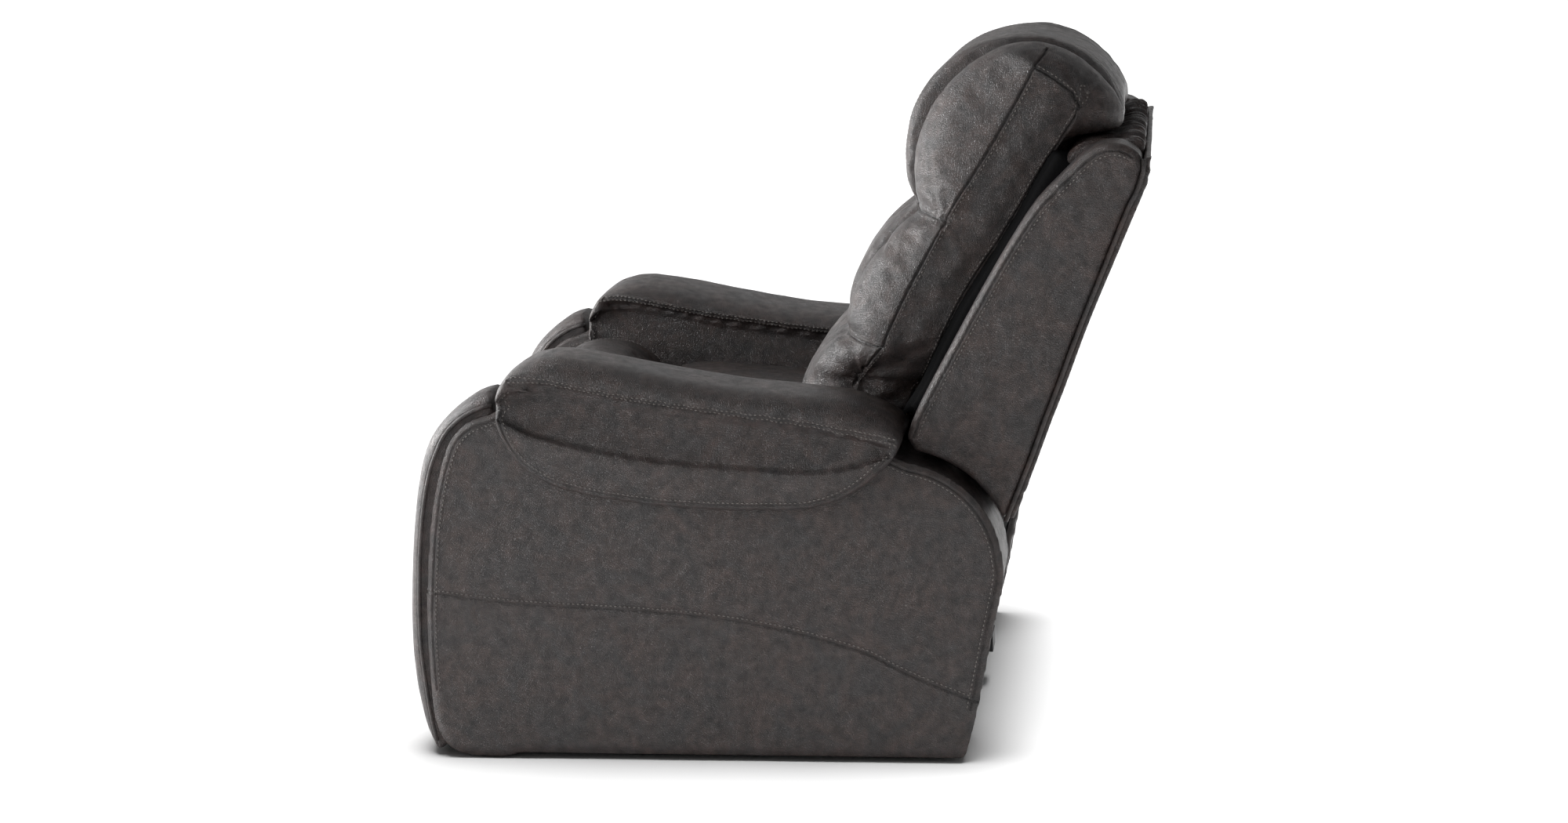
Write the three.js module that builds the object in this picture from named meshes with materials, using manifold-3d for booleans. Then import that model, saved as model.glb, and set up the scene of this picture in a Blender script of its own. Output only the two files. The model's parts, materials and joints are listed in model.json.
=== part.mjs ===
// Power recliner armchair, millimetres. X across (sitter's left is +X), -Y is the front, Z is up.
// The origin is on the floor under the middle of the chair.
import * as THREE from 'three';
import { mergeVertices } from 'three/addons/utils/BufferGeometryUtils.js';
import Module from 'manifold-3d';

const wasm = await Module();
wasm.setup();

// Driving dimensions
const armMiddle = 375.5; // X of the middle of each arm
const panelHalf = 79.5; // arm middle to the outer face of either side panel
const panelThick = 14;
const padHalf = 104.5; // arm middle to the widest line of the arm pad
const padInside = 80.6; // arm middle to the inside of the pad's flaps
const gap = 0.5; // clear space between pieces that touch in the real chair
const seatHalf = 264;
const backHalf = 312;
const wingInner = 330;
const wingOuter = 420;
const footHeight = 20;
const hingeY = 192; // recline axis
const hingeZ = 310;
const creaseY = 225; // headrest axis, at the crease under the head pillow
const creaseZ = 875;
const shoulderRadius = 168; // arm's rear corner, concentric with the recline axis
const wingRadius = 180;
const guideRadius = 245; // curved headrest arms, concentric with the headrest axis
const linkLength = 275;
const linkStart = new THREE.Vector2(-330, 312); // footrest link pivot on the seat
const boardPivot = new THREE.Vector2(-436, 205); // footrest pivot when folded
const stem = { out: 8, travel: 2 }; // control buttons

function paint(colour, roughness, metalness) {
  return new THREE.MeshStandardMaterial({ color: colour, roughness, metalness });
}
const leather = paint(0x46413f, 0.5, 0);
const lining = paint(0x26262a, 0.9, 0);
const timber = paint(0xb18a5a, 0.7, 0);
const steel = paint(0x2b2c2e, 0.5, 0.9);
const zinc = paint(0xa9adb0, 0.4, 0.9);
const plastic = paint(0x1d1e20, 0.55, 0);

const group = new THREE.Group();
group.name = 'power_recliner';

function add(name, geometry, material) {
  const mesh = new THREE.Mesh(geometry, material);
  mesh.name = name;
  group.add(mesh);
}

// Booleans: geometry to manifold and back
function toManifold(geometry) {
  const plain = geometry.clone();
  plain.deleteAttribute('normal');
  plain.deleteAttribute('uv');
  const merged = mergeVertices(plain, 1e-4);
  const mesh = new wasm.Mesh({
    numProp: 3,
    vertProperties: new Float32Array(merged.attributes.position.array),
    triVerts: new Uint32Array(merged.index.array),
  });
  return new wasm.Manifold(mesh);
}

function toGeometry(manifold) {
  const mesh = manifold.getMesh();
  const geometry = new THREE.BufferGeometry();
  geometry.setAttribute('position', new THREE.BufferAttribute(new Float32Array(mesh.vertProperties), 3));
  geometry.setIndex(new THREE.BufferAttribute(new Uint32Array(mesh.triVerts), 1));
  geometry.computeVertexNormals();
  return geometry;
}

function join(...parts) {
  let whole = toManifold(parts[0]);
  for (const part of parts.slice(1)) whole = whole.add(toManifold(part));
  return toGeometry(whole);
}

function cut(body, ...tools) {
  let whole = toManifold(body);
  for (const tool of tools) whole = whole.subtract(toManifold(tool));
  return toGeometry(whole);
}

// Basic solids
function box(x0, x1, y0, y1, z0, z1) {
  const geometry = new THREE.BoxGeometry(x1 - x0, y1 - y0, z1 - z0);
  return geometry.translate((x0 + x1) / 2, (y0 + y1) / 2, (z0 + z1) / 2);
}

function rodX(y, z, radius, x0, x1, sides = 24) {
  const geometry = new THREE.CylinderGeometry(radius, radius, x1 - x0, sides);
  return geometry.rotateZ(-Math.PI / 2).translate((x0 + x1) / 2, y, z);
}

function rodY(x, z, radius, y0, y1, sides = 24) {
  const geometry = new THREE.CylinderGeometry(radius, radius, y1 - y0, sides);
  return geometry.translate(x, (y0 + y1) / 2, z);
}

// A side-view outline [y, z] pushed out along X
function prism(outline, x0, x1, hole = null, bevel = 0) {
  const shape = new THREE.Shape(outline.map(([y, z]) => new THREE.Vector2(y, z)));
  if (hole) {
    // The hole runs the other way round from the outline
    const ring = area(hole) * area(outline) > 0 ? hole.slice().reverse() : hole;
    shape.holes.push(new THREE.Path(ring.map(([y, z]) => new THREE.Vector2(y, z))));
  }
  const geometry = new THREE.ExtrudeGeometry(shape, {
    depth: x1 - x0 - 2 * bevel,
    bevelEnabled: bevel > 0,
    bevelThickness: bevel,
    bevelSize: bevel,
    bevelOffset: -bevel,
    bevelSegments: 2,
  });
  const place = new THREE.Matrix4().set(0, 0, 1, x0 + bevel, 1, 0, 0, 0, 0, 1, 0, 0, 0, 0, 0, 1);
  return geometry.applyMatrix4(place);
}

// A curve through the given points, resampled evenly
function smooth(points, count, closed = false) {
  const curve = new THREE.CatmullRomCurve3(
    points.map(([y, z]) => new THREE.Vector3(y, z, 0)), closed, 'centripetal');
  const spaced = curve.getSpacedPoints(closed ? count : count - 1);
  if (closed) spaced.pop();
  return spaced.map((p) => [p.x, p.y]);
}

function arc(y, z, radius, from, to, count) {
  const points = [];
  for (let i = 0; i < count; i += 1) {
    const angle = THREE.MathUtils.degToRad(from + ((to - from) * i) / (count - 1));
    points.push([y + radius * Math.cos(angle), z + radius * Math.sin(angle)]);
  }
  return points;
}

function area(outline) {
  return outline.reduce((sum, [y, z], i) => {
    const [y2, z2] = outline[(i + 1) % outline.length];
    return sum + (y * z2 - y2 * z) / 2;
  }, 0);
}

// An outline moved inwards by a distance
function inset(outline, distance) {
  const turn = Math.sign(area(outline));
  return outline.map(([y, z], i) => {
    const [y0, z0] = outline[(i + outline.length - 1) % outline.length];
    const [y1, z1] = outline[(i + 1) % outline.length];
    const before = new THREE.Vector2(z0 - z, y - y0).normalize();
    const after = new THREE.Vector2(z - z1, y1 - y).normalize();
    const normal = before.clone().add(after).normalize();
    const stretch = Math.min(1.6, 1 / Math.max(0.3, normal.dot(after)));
    return [y + turn * distance * stretch * normal.x, z + turn * distance * stretch * normal.y];
  });
}

// Closed solid through a run of matching sections, each a list of [x, y, z]; flat() gives 2-D
function loft(sections, flat) {
  const count = sections[0].length;
  const position = sections.flat(2);
  const index = [];
  for (let s = 0; s + 1 < sections.length; s += 1) {
    for (let i = 0; i < count; i += 1) {
      const a = s * count + i;
      const b = s * count + ((i + 1) % count);
      index.push(a, b, b + count, a, b + count, a + count);
    }
  }
  for (const [start, flip] of [[0, true], [(sections.length - 1) * count, false]]) {
    const ring = sections[start / count].map((p) => new THREE.Vector2(...flat(p)));
    const clockwise = THREE.ShapeUtils.isClockWise(ring);
    if (clockwise) ring.reverse();
    for (const face of THREE.ShapeUtils.triangulateShape(ring, [])) {
      const at = face.map((k) => start + (clockwise ? count - 1 - k : k));
      const sameWay = clockwise !== flip;
      index.push(...(sameWay ? [at[0], at[2], at[1]] : at));
    }
  }
  const geometry = new THREE.BufferGeometry();
  geometry.setAttribute('position', new THREE.Float32BufferAttribute(position, 3));
  geometry.setIndex(index);
  return outward(geometry);
}

// Turn every face outwards, judged by the signed volume
function outward(geometry) {
  const p = geometry.attributes.position;
  const index = geometry.index.array;
  const corner = [new THREE.Vector3(), new THREE.Vector3(), new THREE.Vector3()];
  let volume = 0;
  for (let i = 0; i < index.length; i += 3) {
    corner.forEach((v, k) => v.fromBufferAttribute(p, index[i + k]));
    volume += corner[0].dot(corner[1].clone().cross(corner[2])) / 6;
  }
  if (volume < 0) {
    const turned = Array.from(index);
    for (let i = 0; i < turned.length; i += 3) [turned[i + 1], turned[i + 2]] = [turned[i + 2], turned[i + 1]];
    geometry.setIndex(turned);
  }
  geometry.computeVertexNormals();
  return geometry;
}

// An outline drawn in towards its own middle, by about the same distance all round
function shrink(outline, distance) {
  const box2 = new THREE.Box2().setFromPoints(outline.map(([y, z]) => new THREE.Vector2(y, z)));
  const centre = box2.getCenter(new THREE.Vector2());
  const size = box2.getSize(new THREE.Vector2());
  return outline.map(([y, z]) => [centre.x + (y - centre.x) * (1 - (2 * distance) / size.x),
    centre.y + (z - centre.y) * (1 - (2 * distance) / size.y)]);
}

// Cushion: a side-view outline, full in the middle and drawn in towards both sides
function cushion(outline, x0, x1, crown, edge) {
  const middle = (x0 + x1) / 2;
  const half = (x1 - x0) / 2;
  const sections = [-1, -0.97, -0.9, -0.72, -0.4, 0, 0.4, 0.72, 0.9, 0.97, 1].map((t) => {
    const fromSide = (1 - Math.abs(t)) * half;
    const round = fromSide >= edge ? 0 : edge - Math.sqrt(Math.max(0, edge * edge - (edge - fromSide) ** 2));
    const ring = shrink(outline, crown * t * t + round * 0.8);
    return ring.map(([y, z]) => [middle + t * half, y, z]);
  });
  return loft(sections, ([, y, z]) => [y, z]);
}

const sides = [['left', 1], ['right', -1]];

function span(side, a, b) {
  return side > 0 ? [a, b] : [-b, -a];
}

// ---- Arms ----
const armFront = smooth([[-540, 8], [-547, 60], [-548, 190], [-543, 285], [-533, 380], [-517, 455],
  [-497, 510], [-472, 538], [-446, 550], [-421, 557]], 18);
const armTop = smooth([[-402, 577], [-370, 592], [-335, 597], [-276, 589], [-170, 566], [0, 546],
  [110, 528], [165, 508], [190, 489]], 14);
const armShoulder = arc(hingeY, hingeZ, shoulderRadius, 80, 7, 12);
const armRear = smooth([[362, 304], [356, 270], [340, 197], [320, 100], [303, 34], [295, 8]], 8);
const armOutline = [...armFront, ...armTop, ...armShoulder, ...armRear];
const frameOutline = inset(armOutline, 16).map(([y, z]) => [y, Math.max(z, footHeight + gap)]);
const frameWindow = [[-494, 70], [-498, 300], [-470, 420], [-420, 490], [-330, 530], [-60, 480],
  [150, 440], [235, 410], [290, 330], [275, 180], [245, 70]];

for (const [name, side] of sides) {
  const outer = span(side, armMiddle + panelHalf - panelThick, armMiddle + panelHalf);
  const inner = span(side, armMiddle - panelHalf, armMiddle - panelHalf + panelThick);
  const core = span(side, armMiddle - 64.5, armMiddle + 64.5);
  let skin = prism(armOutline, ...outer, null, 4);
  if (side < 0) {
    // A pocket for the control panel, on the sitter's right
    skin = cut(skin, box(-464, -450, -302, -178, 298, 342));
  }
  add(`outer_side_panel_${name}`, skin, leather);
  add(`inner_side_panel_${name}`, prism(armOutline, ...inner, null, 4), leather);
  add(`arm_frame_${name}`, prism(frameOutline, ...core, frameWindow), timber);
  for (const [place, y] of [['front', -458], ['rear', 240]]) {
    const foot = new THREE.CylinderGeometry(30, 24, footHeight, 20);
    foot.rotateX(Math.PI / 2).translate(side * armMiddle, y, footHeight / 2);
    add(`foot_${place}_${name}`, foot, plastic);
  }
}

// Crowned facing along the front edge of each arm: sections run square to the edge
const facingBack = inset(armOutline, 15).slice(0, 18);
const facingLine = smooth([[-566, 10], [-577, 50], [-583, 110], [-584, 175], [-582, 250], [-577, 310],
  [-571, 365], [-564, 415], [-553, 465], [-540, 502], [-524, 527], [-505, 547], [-482, 565],
  [-458, 579], [-434, 584]], 18);
const facingWelt = smooth([[-551, 9], [-557, 60], [-561, 180], [-558, 290], [-549, 380], [-534, 455],
  [-511, 511], [-488, 538], [-466, 553], [-446, 562], [-429, 566]], 18);

function facingSection(i, side) {
  const [yb, zb] = facingBack[i].map((v, k) => (k ? Math.max(v, 9 + i * 0.01) : v));
  const [yw, zw] = facingWelt[i];
  const [yc, zc] = facingLine[i];
  const half = 64.5;
  const points = [[-half, yb, zb]];
  for (const t of [-1, -0.9, -0.68, -0.36, 0, 0.36, 0.68, 0.9, 1]) {
    const rise = Math.sqrt(Math.max(0, 1 - Math.abs(t) ** 2.3));
    points.push([t * half, yw + (yc - yw) * rise, zw + (zc - zw) * rise]);
  }
  points.push([half, yb, zb]);
  return points.map(([x, y, z]) => [side * armMiddle + x, y, z]);
}

// Arm pad: an upside-down channel that drapes over both panels
const flapLine = [[-418, 548], [-413, 527], [-399, 497], [-383, 476], [-359, 457], [-325, 440], [-267, 425],
  [-183, 412], [-78, 404], [26, 403], [67, 405], [109, 417], [147, 438], [172, 459], [193, 479], [206, 503]];
const shoulderLine = [[-418, 572], [-394, 613], [-342, 609], [-300, 600], [-217, 582], [-93, 563], [31, 546],
  [150, 525], [194, 516], [206, 510]];
const crownLine = [[-418, 580], [-414, 603], [-404, 620], [-383, 636], [-352, 646], [-318, 648], [-276, 642],
  [-233, 634], [-170, 620], [-107, 608], [-44, 597], [61, 586], [116, 580], [145, 572], [175, 557],
  [199, 535], [206, 519]];
const underLine = [[-418, 570], [-402, 590], [-370, 606], [-335, 610], [-276, 603], [-170, 580], [0, 560],
  [110, 542], [165, 523], [190, 505], [206, 500]];

function along(line, y) {
  for (let i = 0; i + 1 < line.length; i += 1) {
    const [y0, z0] = line[i];
    const [y1, z1] = line[i + 1];
    if (y <= y1) return z0 + ((z1 - z0) * (y - y0)) / (y1 - y0);
  }
  return line[line.length - 1][1];
}

function padSection(y, side) {
  const low = along(flapLine, y);
  const shoulder = Math.max(along(shoulderLine, y), low + 5);
  const top = Math.max(along(crownLine, y), shoulder + 5);
  const under = Math.max(along(underLine, y) - 6, low + 2);
  const rise = top - shoulder;
  const foot = Math.min(14, (shoulder - low) * 0.3);
  const outside = [[padHalf - 12, low], [padHalf - 2.5, low + foot], [padHalf, (low + shoulder) / 2],
    [padHalf - 0.5, shoulder], [padHalf - 7, shoulder + rise * 0.42], [padHalf - 24, shoulder + rise * 0.74],
    [padHalf - 60, shoulder + rise * 0.95]];
  const inside = [[padInside, low + 1], [padInside, under - 4], [padInside - 5, under]];
  const half = [...outside, [0, top]];
  const mirrored = outside.slice().reverse().map(([x, z]) => [-x, z]);
  const back = inside.map(([x, z]) => [-x, z]);
  const ring = [...half, ...mirrored, ...back, ...inside.slice().reverse()];
  return ring.map(([x, z]) => [side * armMiddle + x, y, z]);
}

const padStations = [-418, -415, -408, -398, -383, -359, -325, -267, -200, -120, -40, 40, 109, 147, 172,
  190, 201, 206];
for (const [name, side] of sides) {
  const facing = armFront.map((_, i) => facingSection(i, side));
  add(`arm_front_facing_${name}`, loft(facing, ([x, y, z]) => [x, y - z]), leather);
  const pad = padStations.map((y) => padSection(y, side));
  add(`arm_pad_${name}`, loft(pad, ([x, , z]) => [x, z]), leather);
}

// ---- Base between the arms ----
const innerFace = armMiddle - panelHalf;
add('front_cross_tube', join(box(-innerFace + gap, innerFace - gap, -60, -25, 22, 47),
  box(-34, 34, -58, -28, 46, 53), box(-34, -22.5, -58, -28, 52, 160), box(22.5, 34, -58, -28, 52, 160)), steel);
add('rear_cross_tube', box(-innerFace + gap, innerFace - gap, 215, 250, 22, 57), steel);
add('rear_apron', prism([[274, 14], [286, 14], [330, 215], [318, 215]], -innerFace + gap, innerFace - gap), lining);
for (const [name, side] of sides) {
  // Hinge bracket screwed to the inner panel, with a short pin for the back's arm
  const bracket = prism([[130, 150], [235, 150], [235, 310], ...arc(hingeY, hingeZ, 30, 0, 180, 9), [130, 290]],
    ...span(side, 289, innerFace - gap));
  const pin = rodX(hingeY, hingeZ, 9, ...span(side, 274, 290));
  add(`recline_bracket_${name}`, join(bracket, pin), steel);
  // Fixed rail: a channel along Y that the seat's runner sits on
  const rail = join(box(...span(side, 272, 295.5), -380, 110, 288, 292),
    box(...span(side, 290, 295.5), -380, 110, 291, 330));
  add(`seat_rail_${name}`, rail, steel);
}

// ---- Recline drive ----
const driveZ = 150;
const tube = cut(rodY(0, driveZ, 20, -101, 84), rodY(0, driveZ, 11, -98, 90));
const motor = join(tube, box(-30, 30, -190, -100, driveZ - 38, driveZ + 30));
add('recline_motor', motor, plastic);
add('recline_rod', join(rodY(0, driveZ, 9, 8, 196), box(-11, 11, 190, 206, driveZ - 11, driveZ + 11)), zinc);

// ---- Seat ----
const seatBottom = 336;
const seatFrame = cut(box(-262, 262, -392, 168, seatBottom, 380), box(-226, 226, -352, 128, 320, 400));
add('seat_frame', seatFrame, timber);
const seatStraps = [];
for (let i = 0; i < 5; i += 1) seatStraps.push(box(-225, 225, -330 + i * 100, -280 + i * 100, 368, 372));
for (let i = 0; i < 4; i += 1) seatStraps.push(box(-190 + i * 110, -140 + i * 110, -351, 127, 371, 375));
add('seat_webbing', join(...seatStraps), lining);
const seatOutline = smooth([[-256, 500], [-225, 511], [-180, 512], [-100, 503], [0, 492], [100, 485],
  [160, 480], [182, 462], [184, 425], [172, 392], [0, 386], [-160, 386], [-244, 390], [-258, 430]], 30, true);
add('seat_cushion', cushion(seatOutline, -seatHalf, seatHalf, 6, 16), leather);
const rollOutline = smooth([[-264, 500], [-291, 535], [-327, 555], [-368, 562], [-411, 557], [-440, 542],
  [-457, 510], [-458, 465], [-448, 420], [-424, 392], [-350, 387], [-285, 390], [-266, 440]], 28, true);
add('seat_front_roll', cushion(rollOutline, -seatHalf, seatHalf, 10, 18), leather);
for (const [name, side] of sides) {
  const runner = join(box(...span(side, 264, 288), -370, 70, 293, 298),
    box(...span(side, 264, 268), -370, 70, 297, 350));
  add(`seat_runner_${name}`, runner, zinc);
  // Plate for the footrest links, hung under the seat frame
  const plate = prism([[-392, seatBottom - gap], [-392, 318], [-355, 296], ...arc(-330, 312, 22, 230, 320, 5),
    [-250, 318], [-240, seatBottom - gap]], ...span(side, 244, 249));
  add(`footrest_bracket_${name}`, plate, steel);
}

// ---- Footrest ----
const toBoard = boardPivot.clone().sub(linkStart);
const reach = toBoard.length();
const lean = Math.atan2(toBoard.y, -toBoard.x);
const spread = Math.acos(reach / 2 / linkLength);
const knee = new THREE.Vector2(
  linkStart.x - linkLength * Math.cos(lean - spread), linkStart.y + linkLength * Math.sin(lean - spread));

function link(from, to, x0, x1, width) {
  const along2 = to.clone().sub(from);
  const angle = THREE.MathUtils.radToDeg(Math.atan2(along2.y, along2.x));
  const outline = [...arc(to.x, to.y, width / 2, angle - 90, angle + 90, 9),
    ...arc(from.x, from.y, width / 2, angle + 90, angle + 270, 9)];
  return prism(outline, x0, x1);
}

for (const [name, side] of sides) {
  add(`front_link_${name}`, link(knee, boardPivot, ...span(side, 230, 236), 26), steel);
  const plate = prism([[-461, 180], [-461, 300], [-452, 300], [-430, 222],
    ...arc(boardPivot.x, boardPivot.y, 14, 60, -60, 7), [-440, 186]], ...span(side, 223, 229));
  add(`footrest_mount_${name}`, plate, steel);
}
add('rear_links', join(rodX(linkStart.x, linkStart.y, 12, -238, 238),
  link(linkStart, knee, 237, 243, 26), link(linkStart, knee, -243, -237, 26)), steel);
const gearbox = join(box(-60, 60, -362, -292, 284, seatBottom - gap), rodX(-272, 300, 22, -58, 90));
add('footrest_motor', cut(gearbox, rodX(linkStart.x, linkStart.y, 13, -70, 70)), plastic);
add('footrest_board', box(-258, 258, -475, -462, 84, 415), timber);
const restOutline = smooth([[-476, 76], [-476, 200], [-476, 330], [-476, 424], [-500, 432], [-524, 424],
  [-536, 396], [-542, 330], [-544, 240], [-541, 150], [-534, 100], [-520, 78], [-498, 72]], 26, true);
add('footrest_pad', cushion(restOutline.map(([y, z]) => [Math.min(y, -476), z]), -262, 262, 0, 16)
  .translate(0, 0, 0), leather);

// ---- Back: a straight ladder frame leaning back, all built along one line ----
const leanBack = Math.atan2(255, 437);
function backPoint(up, rear) {
  return [203 + up * Math.sin(leanBack) + rear * Math.cos(leanBack),
    537 + up * Math.cos(leanBack) - rear * Math.sin(leanBack)];
}
function backBar(up0, up1, rear0, rear1, x0, x1) {
  return prism([backPoint(up0, rear0), backPoint(up1, rear0), backPoint(up1, rear1), backPoint(up0, rear1)], x0, x1);
}
const frameFront = 12;
const frameRear = 40;
add('back_frame', join(
  backBar(-10, 400, frameFront, frameRear, 240, 276), backBar(-10, 400, frameFront, frameRear, -276, -240),
  backBar(-10, 30, frameFront, frameRear, -276, 276), backBar(128, 165, frameFront, frameRear, -326, 326),
  backBar(350, 400, frameFront, frameRear, -326, 326)), timber);
const backStraps = [];
for (const up of [20, 95, 170, 245, 320]) backStraps.push(backBar(up, up + 40, 7, 11, -260, 260));
for (const x of [-185, -75, 35, 145]) backStraps.push(backBar(25, 355, 7, 11, x, x + 40));
add('back_webbing', join(...backStraps), lining);

const wingRear = smooth([[570, 912], [562, 884], [548, 857], [510, 764], [472, 670], [438, 580], [420, 534],
  [402, 484], [380, 426]], 10);
const wingOutline = [...smooth([[213, 508], [218, 532], [244, 579], [269, 621], [296, 688], [335, 751],
  [374, 813], [412, 865], [449, 902], [487, 939], [513, 953], [540, 954], [562, 944], [572, 931]], 16),
...wingRear, ...arc(hingeY, hingeZ, wingRadius, 22, 76, 8), [222, 490]];
for (const [name, side] of sides) {
  add(`back_wing_${name}`, cushion(wingOutline, ...span(side, wingInner, wingOuter), 2, 8), leather);
  // Hinge arm from the recline axis up to the frame
  const arm = prism([...arc(hingeY, hingeZ, 22, 180, 340, 9), [268, 470], backPoint(0, 36), backPoint(120, 36),
    backPoint(120, 16), backPoint(0, 16), [228, 486]], ...span(side, 277, 283));
  add(`back_arm_${name}`, cut(arm, rodX(hingeY, hingeZ, 9.8, -300, 300)), steel);
}
// Lever the recline drive pushes on
const lever = [backPoint(-11, 14), backPoint(-11, 38), [246, 330], [243, 152], [236, 142], [225, 142],
  [219, 152], [216, 330]];
add('recline_lever', prism(lever, -9, 9), steel);
const shellLine = [[574, 934], ...wingRear, [366, 393]];
const shell = [...shellLine.map(([y, z]) => [y + 13, z]), ...shellLine.map(([y, z]) => [y + 3.4, z]).reverse()];
add('back_shell', prism(shell, -416, 416), leather);
add('back_top_cover', cushion(smooth([[488, 914], [500, 930], [520, 936], [542, 937], [556, 941], [567, 932],
  [562, 910], [548, 893], [520, 888], [496, 896]], 18, true), -326, 326, 2, 8), leather);

const lowerOutline = smooth([[14, 502], [20, 540], [42, 580], [70, 612], [88, 624], [150, 604], [214, 570],
  [206, 546], [196, 520], [188, 502], [100, 497]], 26, true);
add('back_cushion_lower', cushion(lowerOutline, -seatHalf, seatHalf, 14, 16), leather);
const upperOutline = smooth([[94, 633], [98, 660], [108, 695], [123, 731], [147, 770], [180, 810], [216, 861],
  [300, 890], [380, 921], [436, 944], [434, 925], [392, 860], [321, 749], [265, 648], [227, 590],
  [160, 618]], 34, true);
add('back_cushion_upper', cushion(upperOutline, -backHalf, backHalf, 8, 16), leather);

// ---- Headrest, on curved arms centred on the crease ----
const headOutline = smooth([[222, 872], [216, 900], [220, 945], [238, 990], [262, 1026], [294, 1058],
  [329, 1081], [362, 1095], [396, 1101], [428, 1098], [464, 1082], [502, 1053], [527, 1024], [540, 996],
  [541, 970], [515, 957], [478, 962], [440, 957], [380, 932], [300, 900]], 38, true);
add('headrest_cushion', cushion(headOutline, -backHalf, backHalf, 10, 18), leather);
const headArms = sides.map(([, side]) => prism([...arc(creaseY, creaseZ, guideRadius + 8, 16.5, -34, 14),
  ...arc(creaseY, creaseZ, guideRadius - 8, -34, 16.5, 14)], ...span(side, 118, 123)));
add('headrest_bracket', join(box(-180, 180, 448, 500, 942, 950), ...headArms), steel);
for (const [name, side] of sides) {
  // Guide fixed to the back frame: two cheeks and a bridge around the curved arm
  const cheek = [...arc(creaseY, creaseZ, guideRadius + 18, 0, -12, 5),
    ...arc(creaseY, creaseZ, guideRadius - 29, -12, 0, 5)];
  const bridge = [...arc(creaseY, creaseZ, guideRadius + 18, 0, -12, 5),
    ...arc(creaseY, creaseZ, guideRadius + 10, -12, 0, 5)];
  const guide = join(prism(cheek, ...span(side, 112, 116.5)), prism(cheek, ...span(side, 124.5, 129)),
    prism(bridge, ...span(side, 116, 125)));
  add(`headrest_guide_${name}`, guide, steel);
}

// ---- Controls on the outside of the sitter's right arm ----
const controlX = -(armMiddle + panelHalf);
const controls = box(controlX - 5, controlX + 4, -300, -180, 300, 340);
const pockets = [];
const buttonNames = ['button_recline', 'button_upright', 'button_head_forward', 'button_head_back'];
buttonNames.forEach((name, i) => {
  const y = -279 + i * 26;
  pockets.push(rodX(y, 320, 10, controlX - 6, controlX + 1));
  add(name, rodX(y, 320, 9.4, controlX - 7, controlX - 1.5), zinc);
});
add('control_panel', cut(controls, ...pockets), plastic);
add('power_inlet', box(-30, 30, 304, 316, 60, 90), plastic);

export default group;
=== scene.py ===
import json
import math

import bmesh
import bpy
import numpy as np
from mathutils import Matrix, Vector, noise
from mathutils.bvhtree import BVHTree

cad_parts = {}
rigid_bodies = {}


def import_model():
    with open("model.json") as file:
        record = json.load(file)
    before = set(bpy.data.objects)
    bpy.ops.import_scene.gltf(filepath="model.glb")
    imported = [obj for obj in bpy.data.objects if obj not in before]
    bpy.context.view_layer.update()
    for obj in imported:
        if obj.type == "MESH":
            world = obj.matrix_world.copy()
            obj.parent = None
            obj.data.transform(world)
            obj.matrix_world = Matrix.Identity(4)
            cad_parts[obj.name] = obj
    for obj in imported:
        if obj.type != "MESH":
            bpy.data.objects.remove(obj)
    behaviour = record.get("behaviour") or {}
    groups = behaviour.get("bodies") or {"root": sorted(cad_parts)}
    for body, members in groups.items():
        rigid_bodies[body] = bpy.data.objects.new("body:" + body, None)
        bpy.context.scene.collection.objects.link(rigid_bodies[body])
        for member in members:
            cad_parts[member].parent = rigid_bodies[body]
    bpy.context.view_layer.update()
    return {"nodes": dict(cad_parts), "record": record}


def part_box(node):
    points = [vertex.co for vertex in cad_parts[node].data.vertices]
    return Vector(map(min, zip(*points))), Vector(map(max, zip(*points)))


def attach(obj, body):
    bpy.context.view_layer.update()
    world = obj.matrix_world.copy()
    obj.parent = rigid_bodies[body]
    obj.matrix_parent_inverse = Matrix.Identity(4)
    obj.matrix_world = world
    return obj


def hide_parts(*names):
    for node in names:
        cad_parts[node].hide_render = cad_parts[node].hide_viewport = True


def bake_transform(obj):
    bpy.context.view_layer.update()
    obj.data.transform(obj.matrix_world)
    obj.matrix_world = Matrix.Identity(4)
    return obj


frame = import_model()

bl_info = {
    "name": "Power recliner",
    "version": (1, 0, 0),
    "blender": (4, 5, 0),
    "location": "View3D > Sidebar > Recliner",
    "description": "Upholsters the power recliner armchair over its steel and timber frame",
    "category": "Object",
}

SIDES = (("left", 1.0), ("right", -1.0))
ARM_MIDDLE = sum(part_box("arm_pad_left")[i][0] for i in (0, 1)) / 2
PANEL_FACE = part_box("outer_side_panel_left")[1][0]
INNER_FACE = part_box("inner_side_panel_left")[0][0]
FACING_HALF = (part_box("arm_front_facing_left")[1][0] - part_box("arm_front_facing_left")[0][0]) / 2
WING_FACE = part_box("back_wing_left")[1][0]
WING_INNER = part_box("back_wing_left")[0][0]
BACK_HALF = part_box("back_cushion_upper")[1][0]
SEAT_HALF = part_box("seat_cushion")[1][0]


# ---- Sizes and colours a user would change ----
def linear(hexcode):
    """sRGB hex to linear RGBA."""
    out = []
    for i in (0, 2, 4):
        c = int(hexcode[i:i + 2], 16) / 255
        out.append(c / 12.92 if c <= 0.04045 else ((c + 0.055) / 1.055) ** 2.4)
    return (*out, 1.0)


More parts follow.
